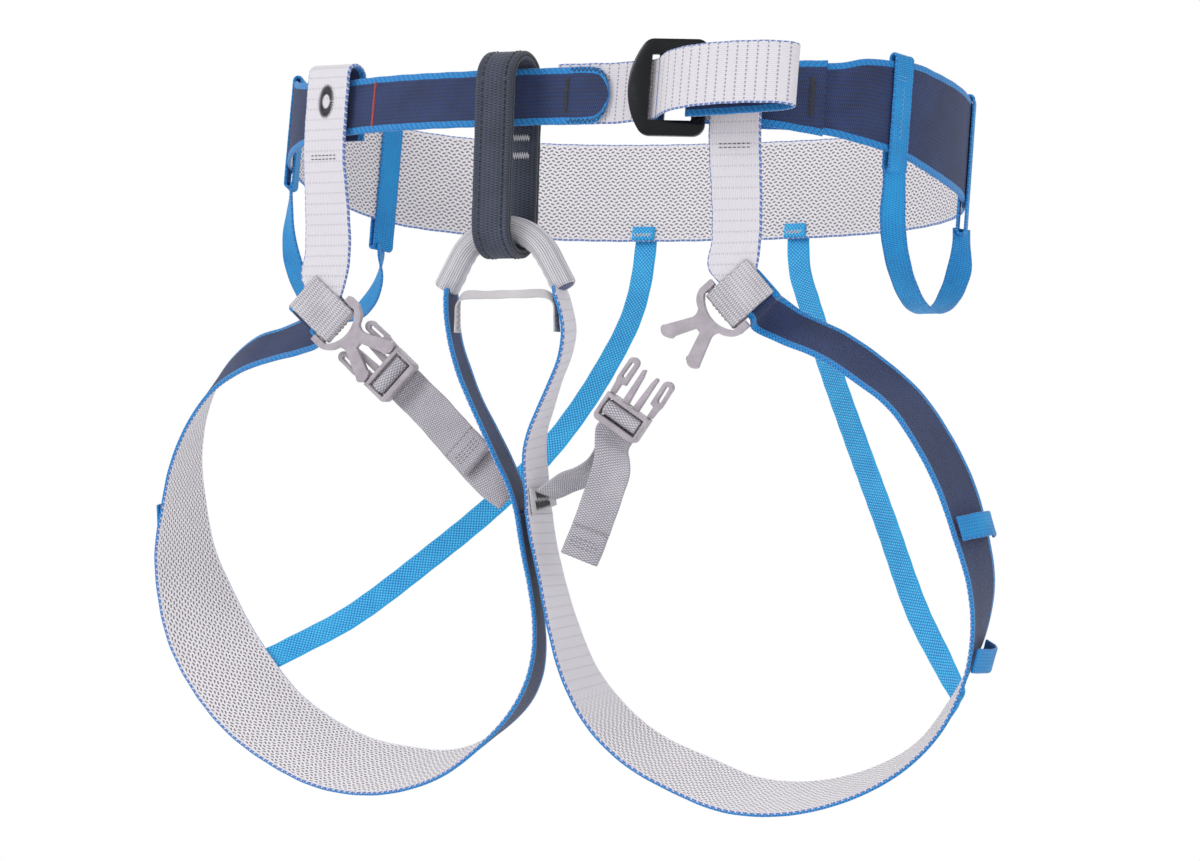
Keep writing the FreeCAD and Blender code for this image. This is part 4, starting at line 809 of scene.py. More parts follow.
def anchor_stations(buckle):
    """The short webbing folded round a hook's bar."""
    span, middle = ANCHOR_LENGTH, ANCHOR_MIDDLE
    path = [(-span, middle), (-span * 0.6, middle), (-span * 0.25, middle)]
    for step in range(9):
        swing = math.radians(90.0 - 22.5 * step)
        path.append((middle * math.cos(swing), middle * math.sin(swing)))
    path += [(-span * 0.25, -middle), (-span * 0.6, -middle), (-span, -middle)]
    width = buckle.direction(0, ANCHOR_WIDTH, 0)
    return [(buckle.point(x, 0, z), width) for x, z in path]


def ring_back(x, offset, lift):
    """A point beside the back of the ring, moved outward by offset."""
    angle = 180.0 - ring_angle(x)
    return TILT @ (ring_point(angle) + ring_outward(angle) * offset + V(0, 0, lift))


def elastic_stations(prefix):
    x = ELASTIC_X[prefix]
    flat = V(ELASTIC_WIDTH, 0, 0)
    stations = [(ring_back(x, 2.7, -12.0), flat), (ring_back(x, 2.7, -25.0), flat)]
    return stations + [(V(*row[:3]), V(*row[3:])) for row in ELASTIC_RUNS[prefix]]


def strip_axes(angle):
    """The tilted ring's point at an angle, with its outward direction and up."""
    out = TILT @ ring_outward(angle)
    up = TILT @ UP
    return TILT @ ring_point(angle), out, up


def gear_loop_stations(prefix):
    side = RIGHT if prefix == "right" else LEFT
    ends = []
    for name in (f"gear_strip_front_{prefix}", f"gear_strip_rear_{prefix}"):
        angle, _, low = STRIPS[name]
        origin, _, up = strip_axes(angle)
        ends.append(origin + up * low)
    front, rear = ends
    stations = []
    for share, drop, wide_x, wide_y, wide_z in GEAR_LOOP:
        middle = front + (rear - front) * share - V(0, 0, drop)
        width = V(wide_x * side, wide_y, wide_z).normalized() * ELASTIC_WIDTH
        stations.append((middle, width))
    return stations


HOLDER_WIDTH = 12.0
HOLDER_BASE = 0.9 + 0.6 + 1.8


def holder_stations(stations, place, outward_sign):
    """A short webbing across the leg loop's outside. place counts stations of the leg loop."""
    index = int(place)
    share = place - index
    low, high = stations[index], stations[index + 1]
    middle, width = low[0].lerp(high[0], share), low[1].lerp(high[1], share)
    along = (high[0] - low[0]).normalized()
    out = along.cross(width).normalized() * outward_sign
    across = width.cross(out).normalized() * HOLDER_WIDTH
    return [(middle + width * (position - 0.5) + out * (HOLDER_BASE + bulge), across)
            for position, bulge in HOLDER_BULGE]


LEFT_LEG_STATIONS = (fold_stations(LEFT_BUCKLE, [(4.0, 18.0), (-5.0, 19.0), (-11.6, 19.0)])
                     + from_edges(LEFT_LEG))
RIGHT_LEG_STATIONS = (fold_stations(RIGHT_HOOK, [(-4.0, 18.0), (5.0, 19.0), (11.6, 19.0)])
                      + from_edges(RIGHT_LEG))


def outside_rows(stations, away_from, at=0.5):
    """Rows of (middle, width vector, outside normal) in metres. The outside faces away from a
    point, judged at a share of the way along."""
    middle = np.array([station[0] for station in stations]) * MM
    width = np.array([station[1] for station in stations]) * MM
    ahead = np.gradient(middle, axis=0)
    normal = np.cross(ahead, width)
    normal /= np.linalg.norm(normal, axis=1)[:, None]
    index = round(at * (len(middle) - 1))
    if np.dot(normal[index], middle[index] - np.array(away_from) * MM) < 0:
        normal = -normal
    return np.concatenate([middle, width, normal], axis=1)


# ---------------------------------------------------------------- smooth rows


def between(p, q, r, s, share):
    """The row at a share of the way from q to r on a centripetal curve through all four."""
    knots = [0.0]
    for low, high in ((p, q), (q, r), (r, s)):
        knots.append(knots[-1] + max(np.linalg.norm(high[:3] - low[:3]), 1e-7) ** 0.5)
    t = knots[1] + (knots[2] - knots[1]) * share

    def mix(a, b, low, high):
        return a * ((high - t) / (high - low)) + b * ((t - low) / (high - low))

    first, second, third = mix(p, q, *knots[0:2]), mix(q, r, *knots[1:3]), mix(r, s, *knots[2:4])
    left = mix(first, second, knots[0], knots[2])
    right = mix(second, third, knots[1], knots[3])
    return mix(left, right, knots[1], knots[2])


FINE_STEP = 1.5 * MM


def refined(rows, ghost=None):
    """More rows between the given ones, on a smooth curve. ghost is a row before the first."""
    first = ghost if ghost is not None else 2 * rows[0] - rows[1]
    padded = [first] + list(rows) + [2 * rows[-1] - rows[-2]]
    result = []
    for index in range(len(rows) - 1):
        length = np.linalg.norm(rows[index + 1][:3] - rows[index][:3])
        parts = max(1, math.ceil(length / FINE_STEP))
        for part in range(parts):
            result.append(between(*padded[index:index + 4], part / parts))
    result.append(rows[-1])
    result = np.array(result)
    result[:, 6:9] /= np.linalg.norm(result[:, 6:9], axis=1)[:, None]
    return result


def lengths_along(rows):
    steps = np.linalg.norm(np.diff(rows[:, :3], axis=0), axis=1)
    return np.concatenate([[0.0], np.cumsum(steps)])


# ---------------------------------------------------------------- ribbons

EDGE_COLUMNS = [0.08, 0.35, 0.8, 1.5, 2.3, 3.3]
ROUNDING = 0.55
BEAD = 0.14
BEAD_AT = 1.3
BEAD_WIDE = 0.9
INNER_COLUMNS = 7
FULL_EDGE = 6.0
GROOVE_REACH = 1.1
WAVER, WAVER_LENGTH = 0.15, 2.3
OUTSIDE, INSIDE, OUTER_EDGE, INNER_EDGE = range(4)
RUNS = {}


def column_places(width, bands):
    """Distances across a webbing of this width, from -half to half, in millimetres. There is a
    column where each coloured edge ends."""
    half = width / 2
    edge = [distance * min(1.0, half / FULL_EDGE) for distance in sorted({*EDGE_COLUMNS, *bands})]
    inside = np.linspace(-half + edge[-1], half - edge[-1], INNER_COLUMNS + 2)[1:-1]
    return [-half + d for d in edge] + list(inside) + [half - d for d in reversed(edge)]


def half_thickness(edge_distance, thick):
    """Half of a webbing's thickness at a distance from its edge: round, with a woven bead."""
    near = min(edge_distance / (ROUNDING * thick), 1.0)
    round_part = math.sqrt(max(0.0, 1.0 - (1.0 - near) ** 2))
    bead = BEAD * math.exp(-((edge_distance - BEAD_AT) / BEAD_WIDE) ** 2)
    return thick / 2 * round_part * (1.0 + bead)


def ripple(along, across, amount, seed):
    """Small hand-made unevenness, out of the webbing's plane."""
    slow = math.sin(along / 37.0 + seed) + 0.7 * math.sin(along / 17.0 + 2.1 * seed + across * 0.04)
    fast = 0.35 * math.sin(along / 6.1 + 1.3 * seed) * math.sin(across * 0.35 + seed)
    return amount * (slow + fast) / 2.0


def ribbon(name, rows, thick, faces, node=None, body=None, bands=(3.3, 0.9), slack=0.12,
           closed=False, flip_after=None, ghost=None, attach=True, slot=None, groove=None):
    """A detailed webbing along rows. faces are the outside, inside and two edge materials.
    bands are how far the edge colour reaches in on the outside and the inside. flip_after
    swaps the two faces' looks beyond a length. groove is (place from the middle, depth)."""
    rows = refined(rows, ghost=ghost) if not closed else rows
    along = lengths_along(rows) / MM
    RUNS[name] = (rows, along, thick)
    seed = sum(ord(letter) for letter in name) % 97
    bm = bmesh.new()
    weave = bm.loops.layers.uv.new("weave")
    zone = bm.loops.layers.uv.new("zone")
    rings = []
    for row, length in zip(rows, along):
        middle, width, normal = Vector(row[:3]), Vector(row[3:6]), Vector(row[6:9])
        wide = width.length / MM + WAVER * math.sin(length / WAVER_LENGTH + seed)
        across_dir = width.normalized()
        normal = (normal - across_dir * normal.dot(across_dir)).normalized()
        ring = []
        places = column_places(wide, bands)
        for sign in (1, -1):
            for place in places if sign > 0 else reversed(places):
                edge = wide / 2 - abs(place)
                half = half_thickness(edge, thick / MM)
                if groove and abs(abs(place) - groove[0]) < GROOVE_REACH:
                    half -= groove[1] * (1.0 - abs(abs(place) - groove[0]) / GROOVE_REACH)
                lift = ripple(length, place, slack, seed) + sign * half
                point = middle + across_dir * (place * MM) + normal * (lift * MM)
                ring.append((bm.verts.new(point), place, edge, wide, sign))
        rings.append(ring)
    count = len(rings[0])
    pairs = list(zip(range(len(rings) - 1), range(1, len(rings))))
    if closed:
        pairs.append((len(rings) - 1, 0))
    for low, high in pairs:
        flipped = flip_after is not None and bool(along[low] > flip_after)
        for k in range(count):
            n = (k + 1) % count
            corners = (rings[low][k], rings[low][n], rings[high][n], rings[high][k])
            face = bm.faces.new([c[0] for c in corners])
            sides = {c[4] for c in corners}
            edge = sum(c[2] for c in corners[:2]) / 2
            inside = (1 not in sides) != flipped
            if len(sides) == 2:
                face.material_index = OUTER_EDGE
            elif edge < bands[inside] * min(1.0, corners[0][3] / 2 / FULL_EDGE):
                face.material_index = INNER_EDGE if inside else OUTER_EDGE
            else:
                face.material_index = INSIDE if inside else OUTSIDE
            top = along[high] if high > low else along[low] + (along[1] - along[0])
            for loop, corner, length in zip(face.loops, corners, (along[low], along[low], top, top)):
                loop[weave].uv = (corner[1], length)
                loop[zone].uv = (max(corner[2], 0.0), corner[3])
    if not closed:
        for ring in (rings[0], rings[-1]):
            for k in range(count // 2 - 1):
                quad = (ring[k], ring[k + 1], ring[count - 2 - k], ring[count - 1 - k])
                bm.faces.new([c[0] for c in quad]).material_index = OUTER_EDGE
    bm.normal_update()
    if not attach:
        obj = piece(name, bm, faces, slot=SLOT_OF[node] if node else slot)
        if node:
            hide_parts(node)
        return obj
    return piece(name, bm, faces, node=node, body=body, slot=slot)


TWO_FACED = (NAVY, LIGHT, EDGE, EDGE_LIGHT)
LIGHT_OUT = (LIGHT, NAVY, EDGE_LIGHT, EDGE)
DOTTED_OUT = (LIGHT_DOTTED, NAVY, EDGE_LIGHT, EDGE)
LIGHT_BANDS = (0.9, 3.3)
GREY = (STRAP, STRAP, STRAP_EDGE, STRAP_EDGE)
THICK = {"webbing": 1.8 * MM, "strap": 1.4 * MM, "elastic": 1.5 * MM, "gear": 1.2 * MM,
         "anchor": 1.3 * MM, "hem": 3.6 * MM, "thin": 1.0 * MM}

# ---------------------------------------------------------------- the harness's ribbons


def webbing(name, stations, kind, faces, away_from, at=0.5, **options):
    """A ribbon that stands for the CAD node of the same name."""
    rows = outside_rows(stations, away_from, at)
    return ribbon(name + "_woven", rows, THICK[kind], faces, node=name, **options)


FOLDED_BACK = 52.0
waist = waist_stations()
waist_length = sum((q[0] - p[0]).length for p, q in zip(waist, waist[1:]))
webbing("waist_webbing", waist, "webbing", TWO_FACED, (0, 0, 0), flip_after=waist_length - FOLDED_BACK)
webbing("waist_strap", waist_strap_stations(), "strap", DOTTED_OUT, (0, 0, 0), at=0.3, bands=LIGHT_BANDS)
webbing("waist_strap_tail", tail_stations(), "strap", DOTTED_OUT, (115, -124, 0), at=0.2, bands=LIGHT_BANDS)

LEFT_FOLD = [(-19.6, 11.8, 1.2, 24.0), (-12.6, 4.9, 1.2, 17.0)]
RIGHT_FOLD = [(-14.6, -11.4, 1.2, 24.0), (-11.4, -4.2, 1.2, 16.0)]
for prefix, side, buckle, fold, behind in (("left", LEFT, LEFT_BUCKLE, LEFT_FOLD, (-110, -90, 0)),
                                           ("right", RIGHT, RIGHT_HOOK, RIGHT_FOLD, (113, -90, 0))):
    webbing(f"riser_{prefix}", riser_stations(side, buckle, fold), "webbing", LIGHT_OUT, behind,
            at=0.7, bands=LIGHT_BANDS)
webbing("leg_webbing_left", LEFT_LEG_STATIONS, "webbing", TWO_FACED, (-110, -70, -200))
webbing("leg_webbing_right", RIGHT_LEG_STATIONS, "webbing", TWO_FACED, (115, -70, -200))


INTO_SLEEVE = 3.5
SLEEVE_SQUEEZE = 0.8


def bridge(side, stations, leg_stations, inner):
    """A bridge branch. Its foot is the leg loop's last station."""
    name = f"bridge_webbing_{side}"
    rows = outside_rows([leg_stations[-1]] + stations, inner, 0.4)
    ghost = outside_rows([leg_stations[-2], leg_stations[-1]], inner, 0)[0]
    ghost[6:9] = rows[0, 6:9]
    inside_sleeve = rows[-1].copy()
    ahead = rows[-1, :3] - rows[-2, :3]
    inside_sleeve[:3] += ahead * (INTO_SLEEVE * MM / np.linalg.norm(ahead))
    inside_sleeve[3:6] *= SLEEVE_SQUEEZE
    rows = np.vstack([rows, inside_sleeve])
    made = ribbon(name + "_woven", rows, THICK["webbing"], TWO_FACED, node=name, attach=False, ghost=ghost)
    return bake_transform(made)


bridge("left", from_edges(LEFT_BRIDGE), LEFT_LEG_STATIONS, (-110, -110, -130))
bridge("right", from_edges(RIGHT_BRIDGE), RIGHT_LEG_STATIONS, (110, -110, -130))
PALE_FACES = (PALE, PALE, PALE, PALE)
ANCHOR_FACES = (ANCHOR, ANCHOR, STRAP_EDGE, STRAP_EDGE)
THIN_EDGES = (0.5, 0.5)
webbing("bridge_keeper", from_edges(KEEPER), "thin", PALE_FACES, (0, 0, -78), slack=0.05)
webbing("crotch_tab", from_edges(CROSSING_TAB), "thin", PALE_FACES, (0, -97, -175), slack=0.05)

for prefix, buckle in (("left", LEFT_BUCKLE), ("right", RIGHT_HOOK)):
    webbing(f"buckle_anchor_{prefix}", anchor_stations(buckle), "anchor", ANCHOR_FACES,
            buckle.point(-10, 0, 0), at=0.1, slack=0.05, bands=THIN_EDGES)

for prefix, latch, strand, tail, hem in (
        ("left", LEFT_BUCKLE, LEFT_STRAP_IN, LEFT_STRAP_OUT, LEFT_HEM),
        ("right", RIGHT_LATCH, RIGHT_STRAP_IN, RIGHT_STRAP_OUT, RIGHT_HEM)):
    webbing(f"leg_strap_{prefix}", through_latch(latch, strand, tail), "strap", GREY,
            latch.point(38, 0, 0), slack=0.08, bands=THIN_EDGES)
    webbing(f"leg_strap_{prefix}_hem", hem, "hem", GREY, (0, 1000, 0), slack=0.05, bands=THIN_EDGES)

ELASTIC_FACES = (ELASTIC, ELASTIC, ELASTIC_EDGE, ELASTIC_EDGE)
GEAR_FACES = (GEAR, GEAR, EDGE, EDGE)
ELASTIC_BANDS = (1.0, 1.0)
GEAR_BANDS = (1.1, 1.1)
for prefix in ("left", "right"):
    webbing(f"rear_elastic_{prefix}", elastic_stations(prefix), "elastic", ELASTIC_FACES, (0, 0, 0),
            bands=ELASTIC_BANDS)


LOOP_INTO_STRIP = 7.0


def gear_loop(prefix):
    """A gear loop whose ends run up between the layers of its two strips."""
    name = f"gear_loop_{prefix}"
    stations = gear_loop_stations(prefix)
    (first, first_width), (last, last_width) = stations[0], stations[-1]
    rise = V(0, 0, LOOP_INTO_STRIP)
    stations = [(first + rise, first_width)] + stations + [(last + rise, last_width)]
    rows = outside_rows(stations, (0, 0, 0))
    made = ribbon(name + "_woven", rows, THICK["gear"], GEAR_FACES, node=name, bands=GEAR_BANDS,
                  attach=False)
    joint = JOINTS[f"gear_loop_{prefix}_swing"]
    pivot, axis = Vector(joint["pos_m"]), Vector(joint["axis"]).normalized()
    down = Vector((0, 0, -1))
    down = (down - axis * down.dot(axis)).normalized()
    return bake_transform(made)


gear_loop("left")
gear_loop("right")
# (the leg loop, its station, which way is outward)
HOLDER_PLACES = {
    "left_upper": (LEFT_LEG_STATIONS, 10.2, -1.0),
    "left_lower": (LEFT_LEG_STATIONS, 12.5, -1.0),
    "right_upper": (RIGHT_LEG_STATIONS, 9.9, 1.0),
    "right_lower": (RIGHT_LEG_STATIONS, 12.5, 1.0),
}
for place, (leg_stations, along, sign) in HOLDER_PLACES.items():
    webbing(f"ice_screw_holder_{place}", holder_stations(leg_stations, along, sign), "gear", GEAR_FACES,
            (115 if "right" in place else -110, -70, -200), bands=GEAR_BANDS, slack=0.05)

# ---------------------------------------------------------------- sewn rings


def ring_rows(centre, long_axis, out_axis, half_long, radius, width, step=1.4 * MM):
    """Rows round a slot-shaped ring, with the outside outward."""
    width_vector = long_axis.cross(out_axis).normalized() * width
    straight = half_long - radius
    rows = []
    runs = max(2, math.ceil(2 * straight / step))
    turns = max(8, math.ceil(math.pi * radius / step))
    for sign in (1, -1):
        for index in range(runs):
            height = sign * straight * (1.0 - 2.0 * index / runs)
            point = centre + long_axis * height + out_axis * (sign * radius)
            rows.append((point, width_vector, out_axis * sign))
        for index in range(turns):
            swing = math.pi * index / turns
            direction = out_axis * (sign * math.cos(swing)) - long_axis * (sign * math.sin(swing))
            point = centre - long_axis * (sign * straight) + direction * radius
            rows.append((point, width_vector, direction))
    return np.array([[*p, *w, *n] for p, w, n in rows])


def gear_strip(name):
    """A narrow ring of webbing round the waist webbing, in two layers' thickness at its foot."""
    angle, high, low = STRIPS[name]
    origin, out, up = strip_axes(angle)
    centre = (origin + up * ((high + low) / 2)) * MM
    radius = (2.6 - 0.6) * MM
    half = ((high - low) / 2) * MM + radius
    rows = ring_rows(centre, up, out, half, radius, ELASTIC_WIDTH * MM)
    return ribbon(name + "_woven", rows, THICK["gear"], GEAR_FACES, node=name, closed=True,
                  bands=GEAR_BANDS, slack=0.04)


for strip_name in STRIPS:
    gear_strip(strip_name)

BELAY_CENTRE_X = -2.6
BELAY_TOP, BELAY_BOTTOM = (-114.5, 25.5), (-119.0, -43.2)
BELAY_BEND, BELAY_THICK, BELAY_WIDTH = 15.5, 4.2, 20.0
SEAM_PLACE = 6.2


def belay_loop():
    """Two layers of webbing, one inside the other, pulled in along two seams."""
    top = V(BELAY_CENTRE_X, *BELAY_TOP) * MM
    low = V(BELAY_CENTRE_X, *BELAY_BOTTOM) * MM
    up = (top - low).normalized()
    out = up.cross(V(1, 0, 0)).normalized()
    if out.y > 0:
        out = -out
    layer = BELAY_THICK / 2
    for index, name in enumerate(("belay_loop_outer_layer", "belay_loop_inner_layer")):
        radius = (BELAY_BEND - layer * (index + 0.5)) * MM
        rows = ring_rows((top + low) / 2, up, out, (top - low).length / 2 + radius, radius, BELAY_WIDTH * MM)
        made = ribbon(name, rows, layer * 0.94 * MM, (BELAY, BELAY, BELAY_EDGE, BELAY_EDGE),
                      body="belay", closed=True, bands=(0.9, 0.9), slack=0.1, groove=(SEAM_PLACE, 0.42),
                      slot="belay_webbing")
        if index == 0:
            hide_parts("belay_loop")


belay_loop()

# ---------------------------------------------------------------- tie-in sleeve

ARCH_CENTRE = V(-2.6, -118.5, -72.0)
ARCH_RADIUS, ARCH_LEG = 27.7, 17.0
ARCH_SWING = math.radians(60)
SLEEVE_RADIUS, SLEEVE_BORE = 6.1, 4.9


def arch_point(length):
    """The arch's middle line at a length from its top, with its direction, in millimetres."""
    swing = max(-ARCH_SWING, min(ARCH_SWING, length / ARCH_RADIUS))
    rest = length - swing * ARCH_RADIUS
    ahead = V(math.cos(swing), 0, -math.sin(swing))
    place = ARCH_CENTRE + V(math.sin(swing), 0, math.cos(swing)) * ARCH_RADIUS
    return place + ahead * rest, ahead


def sleeve():
    """The knitted tube: fine ribs along it, creases inside the bend and soft rolled ends."""
    half = ARCH_SWING * ARCH_RADIUS + ARCH_LEG
    around, along_step = 96, 0.8
    count = round(2 * half / along_step)
    bm = bmesh.new()
    weave = bm.loops.layers.uv.new("weave")
    rings = []
    for wall, rows in ((SLEEVE_RADIUS, range(count + 1)), (SLEEVE_BORE, range(count, -1, -1))):
        for index in rows:
            length = -half + 2 * half * index / count
            place, ahead = arch_point(length)
            side = V(0, 1, 0)
            top = ahead.cross(side)
            end = min(index, count - index) * along_step
            ring = []
            for k in range(around):
                swing = 2 * math.pi * k / around
                radius = wall
                if wall == SLEEVE_RADIUS:
                    radius -= 0.55 * max(0.0, 1.0 - end / 1.2) ** 2
                    radius += 0.10 * math.sin(24 * swing)
                    inward = max(0.0, math.cos(swing))
                    crease = math.sin(length * 1.1) + 0.6 * math.sin(length * 0.47 + 1)
                    radius += 0.16 * inward * crease
                    radius += 0.12 * math.sin(length / 7 + 2 * swing)
                direction = top * -math.cos(swing) + side * math.sin(swing)
                point = place + direction * radius
                ring.append(bm.verts.new(point * MM))
            rings.append((ring, length))
    total = len(rings)
    for index in range(total):
        (low, a), (high, b) = rings[index], rings[(index + 1) % total]
        for k in range(around):
            n = (k + 1) % around
            face = bm.faces.new((low[k], low[n], high[n], high[k]))
            girth = 2 * math.pi * SLEEVE_RADIUS / around
            for loop, u, v in zip(face.loops, (k, k + 1, k + 1, k), (a, a, b, b)):
                loop[weave].uv = (u * girth, v)
    return piece("tie_in_sleeve_knitted", bm, (SLEEVE,), node="tie_in_sleeve")


sleeve()

# ---------------------------------------------------------------- buckles

FLAT = math.radians(2)
BEVEL_FROM = math.radians(28)


def moulded(node, material, bevel, segments=3):
    """A CAD shape with its edges rounded, as a moulding or a tumbled plate has them."""
    bm = bmesh.new()
    bm.from_mesh(NODES[node].data)
    bmesh.ops.remove_doubles(bm, verts=bm.verts, dist=1e-6)
    bmesh.ops.dissolve_limit(bm, angle_limit=FLAT, verts=bm.verts, edges=bm.edges)
    edges = [e for e in bm.edges if len(e.link_faces) == 2 and e.calc_face_angle(0.0) > BEVEL_FROM]
    bmesh.ops.bevel(bm, geom=edges, offset=bevel, offset_type="OFFSET", segments=segments,
                    profile=0.5, affect="EDGES", clamp_overlap=True)
    bmesh.ops.remove_doubles(bm, verts=bm.verts, dist=1e-7)
    bmesh.ops.triangulate(bm, faces=[f for f in bm.faces if len(f.verts) > 4])
    made = piece(node + "_finished", bm, (material,), node=node)
    made.data.set_sharp_from_angle(angle=math.radians(40))
    return made


for node in ("hook_left", "hook_right", "latch_left_frame", "latch_right_frame"):
    moulded(node, PLASTIC, 0.55 * MM)
for side in ("left", "right"):
    for level in ("upper", "lower"):
        moulded(f"latch_{side}_tab_{level}", PLASTIC, 0.5 * MM)
moulded("waist_buckle_front_frame", BLACK_METAL, 0.7 * MM)
moulded("waist_buckle_rear_frame", STEEL, 0.35 * MM)

# ---------------------------------------------------------------- stitches


def add_thread(bm, points, normals, radius, material=0, sides=6):
    """A round thread through points, in metres, with small domed ends."""
    rings = []
    last = len(points) - 1
    for index, (point, normal) in enumerate(zip(points, normals)):
        ahead = (points[min(index + 1, last)] - points[max(index - 1, 0)]).normalized()
        side = ahead.cross(normal).normalized()
        up = side.cross(ahead)
        size = radius * (0.55 if index in (0, last) else 1.0)
        ring = []
        for k in range(sides):
            swing = 2 * math.pi * k / sides
            ring.append(bm.verts.new(point + side * (size * math.cos(swing)) + up * (size * math.sin(swing))))
        rings.append(ring)
    for low, high in zip(rings, rings[1:]):
        for k in range(sides):
            face = bm.faces.new((low[k], low[(k + 1) % sides], high[(k + 1) % sides], high[k]))
            face.material_index = material
    for end in (rings[0], reversed(rings[-1])):
        bm.faces.new(list(end)).material_index = material


def on_ribbon(run, across, along, side=1, lift=0.0):
    """A point on a ribbon's face and the face's normal. across and along are in millimetres."""
    rows, lengths, thick = RUNS[run]
    index = int(np.searchsorted(lengths, along)) - 1
    index = max(0, min(len(rows) - 2, index))
    share = (along - lengths[index]) / max(lengths[index + 1] - lengths[index], 1e-9)
    row = rows[index] * (1.0 - share) + rows[index + 1] * share
    middle, width, normal = Vector(row[:3]), Vector(row[3:6]), Vector(row[6:9]).normalized()
    seed = sum(ord(letter) for letter in run) % 97
    lifted = ripple(along, across, 0.1, seed) + side * (thick / MM / 2 + lift)
    return middle + width.normalized() * (across * MM) + normal * (lifted * MM), normal * side


def sewn(name, run, lines, material, slot, body, side=1, stitch=2.4, gap=0.7, radius=0.22):
    """Stitches on a ribbon along lines of (across, along) points in millimetres."""
    bm = bmesh.new()
    for line in lines:
        line = [Vector(p) for p in line]
        for start, end in zip(line, line[1:]):
            length = (end - start).length
            count = max(1, round(length / (stitch + gap)))
            for index in range(count):
                a = start.lerp(end, (index + 0.5 * gap / (stitch + gap)) / count)
                b = start.lerp(end, (index + 1 - 0.5 * gap / (stitch + gap)) / count)
                points, normals = [], []
                for share, lift in ((0.0, -0.12), (0.25, 0.14), (0.5, 0.2), (0.75, 0.14), (1.0, -0.12)):
                    place = a.lerp(b, share)
                    point, normal = on_ribbon(run, place.x, place.y, side, lift)
                    points.append(point)
                    normals.append(normal)
                add_thread(bm, points, normals, radius * MM)
    return piece(name, bm, (material,), body=body, slot=slot)


def zigzag_line(start, end, half_width, pitch):
    """Corner points of a zigzag between two (across, along) points."""
    start, end = Vector(start), Vector(end)
    ahead = (end - start).normalized()
    side = Vector((-ahead.y, ahead.x))
    count = max(2, round((end - start).length / pitch))
    return [tuple(start.lerp(end, i / count) + side * (half_width if i % 2 else -half_width))
            for i in range(count + 1)]


def near(run, point):
    """Across, along and out, in millimetres, of the place on a ribbon nearest to a point."""
    rows, lengths, _ = RUNS[run]
    index = int(np.argmin(np.linalg.norm(rows[:, :3] - np.array(point), axis=1)))
    gap = Vector(point) - Vector(rows[index, :3])
    across = gap.dot(Vector(rows[index, 3:6]).normalized())
    ahead = Vector(rows[min(index + 1, len(rows) - 1), :3]) - Vector(rows[max(index - 1, 0), :3])
    along = lengths[index] + gap.dot(ahead.normalized()) / MM
    return across / MM, along, gap.dot(Vector(rows[index, 6:9])) / MM


def islands(node):
    """The corner points of each separate solid in a CAD node, from low X to high X."""
    bm = bmesh.new()
    bm.from_mesh(NODES[node].data)
    bmesh.ops.remove_doubles(bm, verts=bm.verts, dist=1e-6)
    left, found = set(bm.verts), []
    while left:
        waiting, corners = [left.pop()], []
        while waiting:
            corner = waiting.pop()
            corners.append(corner.co.copy())
            others = [edge.other_vert(corner) for edge in corner.link_edges]
            waiting += [other for other in others if other in left]
            left.difference_update(others)
        found.append(corners)
    bm.free()
    return sorted(found, key=lambda points: (round(min(p.x for p in points), 4), min(p.z for p in points)))


def laid_thread(bm, run, line, side, radius, material=0):
    """One thread over a ribbon through (across, along) corners, dipping in at each of them."""
    points, normals = [], []
    for low, high in zip(line, line[1:]):
        for share, lift in ((0.0, 0.0), (0.3, 0.24), (0.7, 0.24)):
            place = Vector(low).lerp(Vector(high), share)
            point, normal = on_ribbon(run, place.x, place.y, side, lift)
            points.append(point)
            normals.append(normal)
    add_thread(bm, points, normals, radius * MM, material)


def tacks(node, run, threads, pitch=0.55, radius=0.24):
    """Bar tacks, each a dense zigzag where a solid of the CAD node lies on the ribbon."""
    bm = bmesh.new()
    for index, corners in enumerate(islands(node)):
        places = [near(run, corner) for corner in corners]
        across, along, out = zip(*places)
        side = 1 if sum(out) > 0 else -1
        middle = ((min(across) + max(across)) / 2, (min(along) + max(along)) / 2)
        half = ((max(across) - min(across)) / 2, (max(along) - min(along)) / 2)
        longest = 0 if half[0] > half[1] else 1
        start, end = list(middle), list(middle)
        start[longest] -= half[longest]
        end[longest] += half[longest]
        line = zigzag_line(start, end, half[1 - longest], pitch)
        laid_thread(bm, run, line, side, radius, index % len(threads))
    return piece(node + "_stitched", bm, threads, node=node)


tacks("waist_bar_tacks", "waist_webbing_woven", (RED_THREAD, BLACK_THREAD, BLACK_THREAD))
tacks("belay_bar_tacks", "belay_loop_inner_layer", (PALE_THREAD,), pitch=0.62, radius=0.28)
tacks("crotch_bar_tacks", "crotch_tab_woven", (BLACK_THREAD,), pitch=0.7)


TAB_THICK = 2.0


def elastic_ends():
    """The folded ends of the rear elastics, sewn under the back of the waist."""
    for side, corners in zip(("left", "right"), islands("rear_elastic_ends")):
        across, along, out = zip(*(near("waist_webbing_woven", corner) for corner in corners))
        face = 1 if sum(out) > 0 else -1
        middle = (min(along) + max(along)) / 2
        rows = []
        for place in (max(across), (max(across) + min(across)) / 2, min(across)):
            point, normal = on_ribbon("waist_webbing_woven", place, middle, face, TAB_THICK / 2)
            beside, _ = on_ribbon("waist_webbing_woven", place, middle + 1.0, face, TAB_THICK / 2)
            rows.append(np.array([*point, *((beside - point).normalized() * ELASTIC_WIDTH * MM), *normal]))
        name = f"rear_elastic_end_{side}"
        made = ribbon(name, rows, TAB_THICK * MM, ELASTIC_FACES, body="root", bands=ELASTIC_BANDS,
                      slack=0.03, slot="blue_elastic")
        bm = bmesh.new()
        laid_thread(bm, name, zigzag_line((-4.8, 4.4), (4.8, 4.4), 1.0, 0.9), 1, 0.24)
        piece(name + "_stitches", bm, (PALE_THREAD,), body="root", slot="pale_thread")
        if side == "left":
            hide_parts("rear_elastic_ends")


elastic_ends()


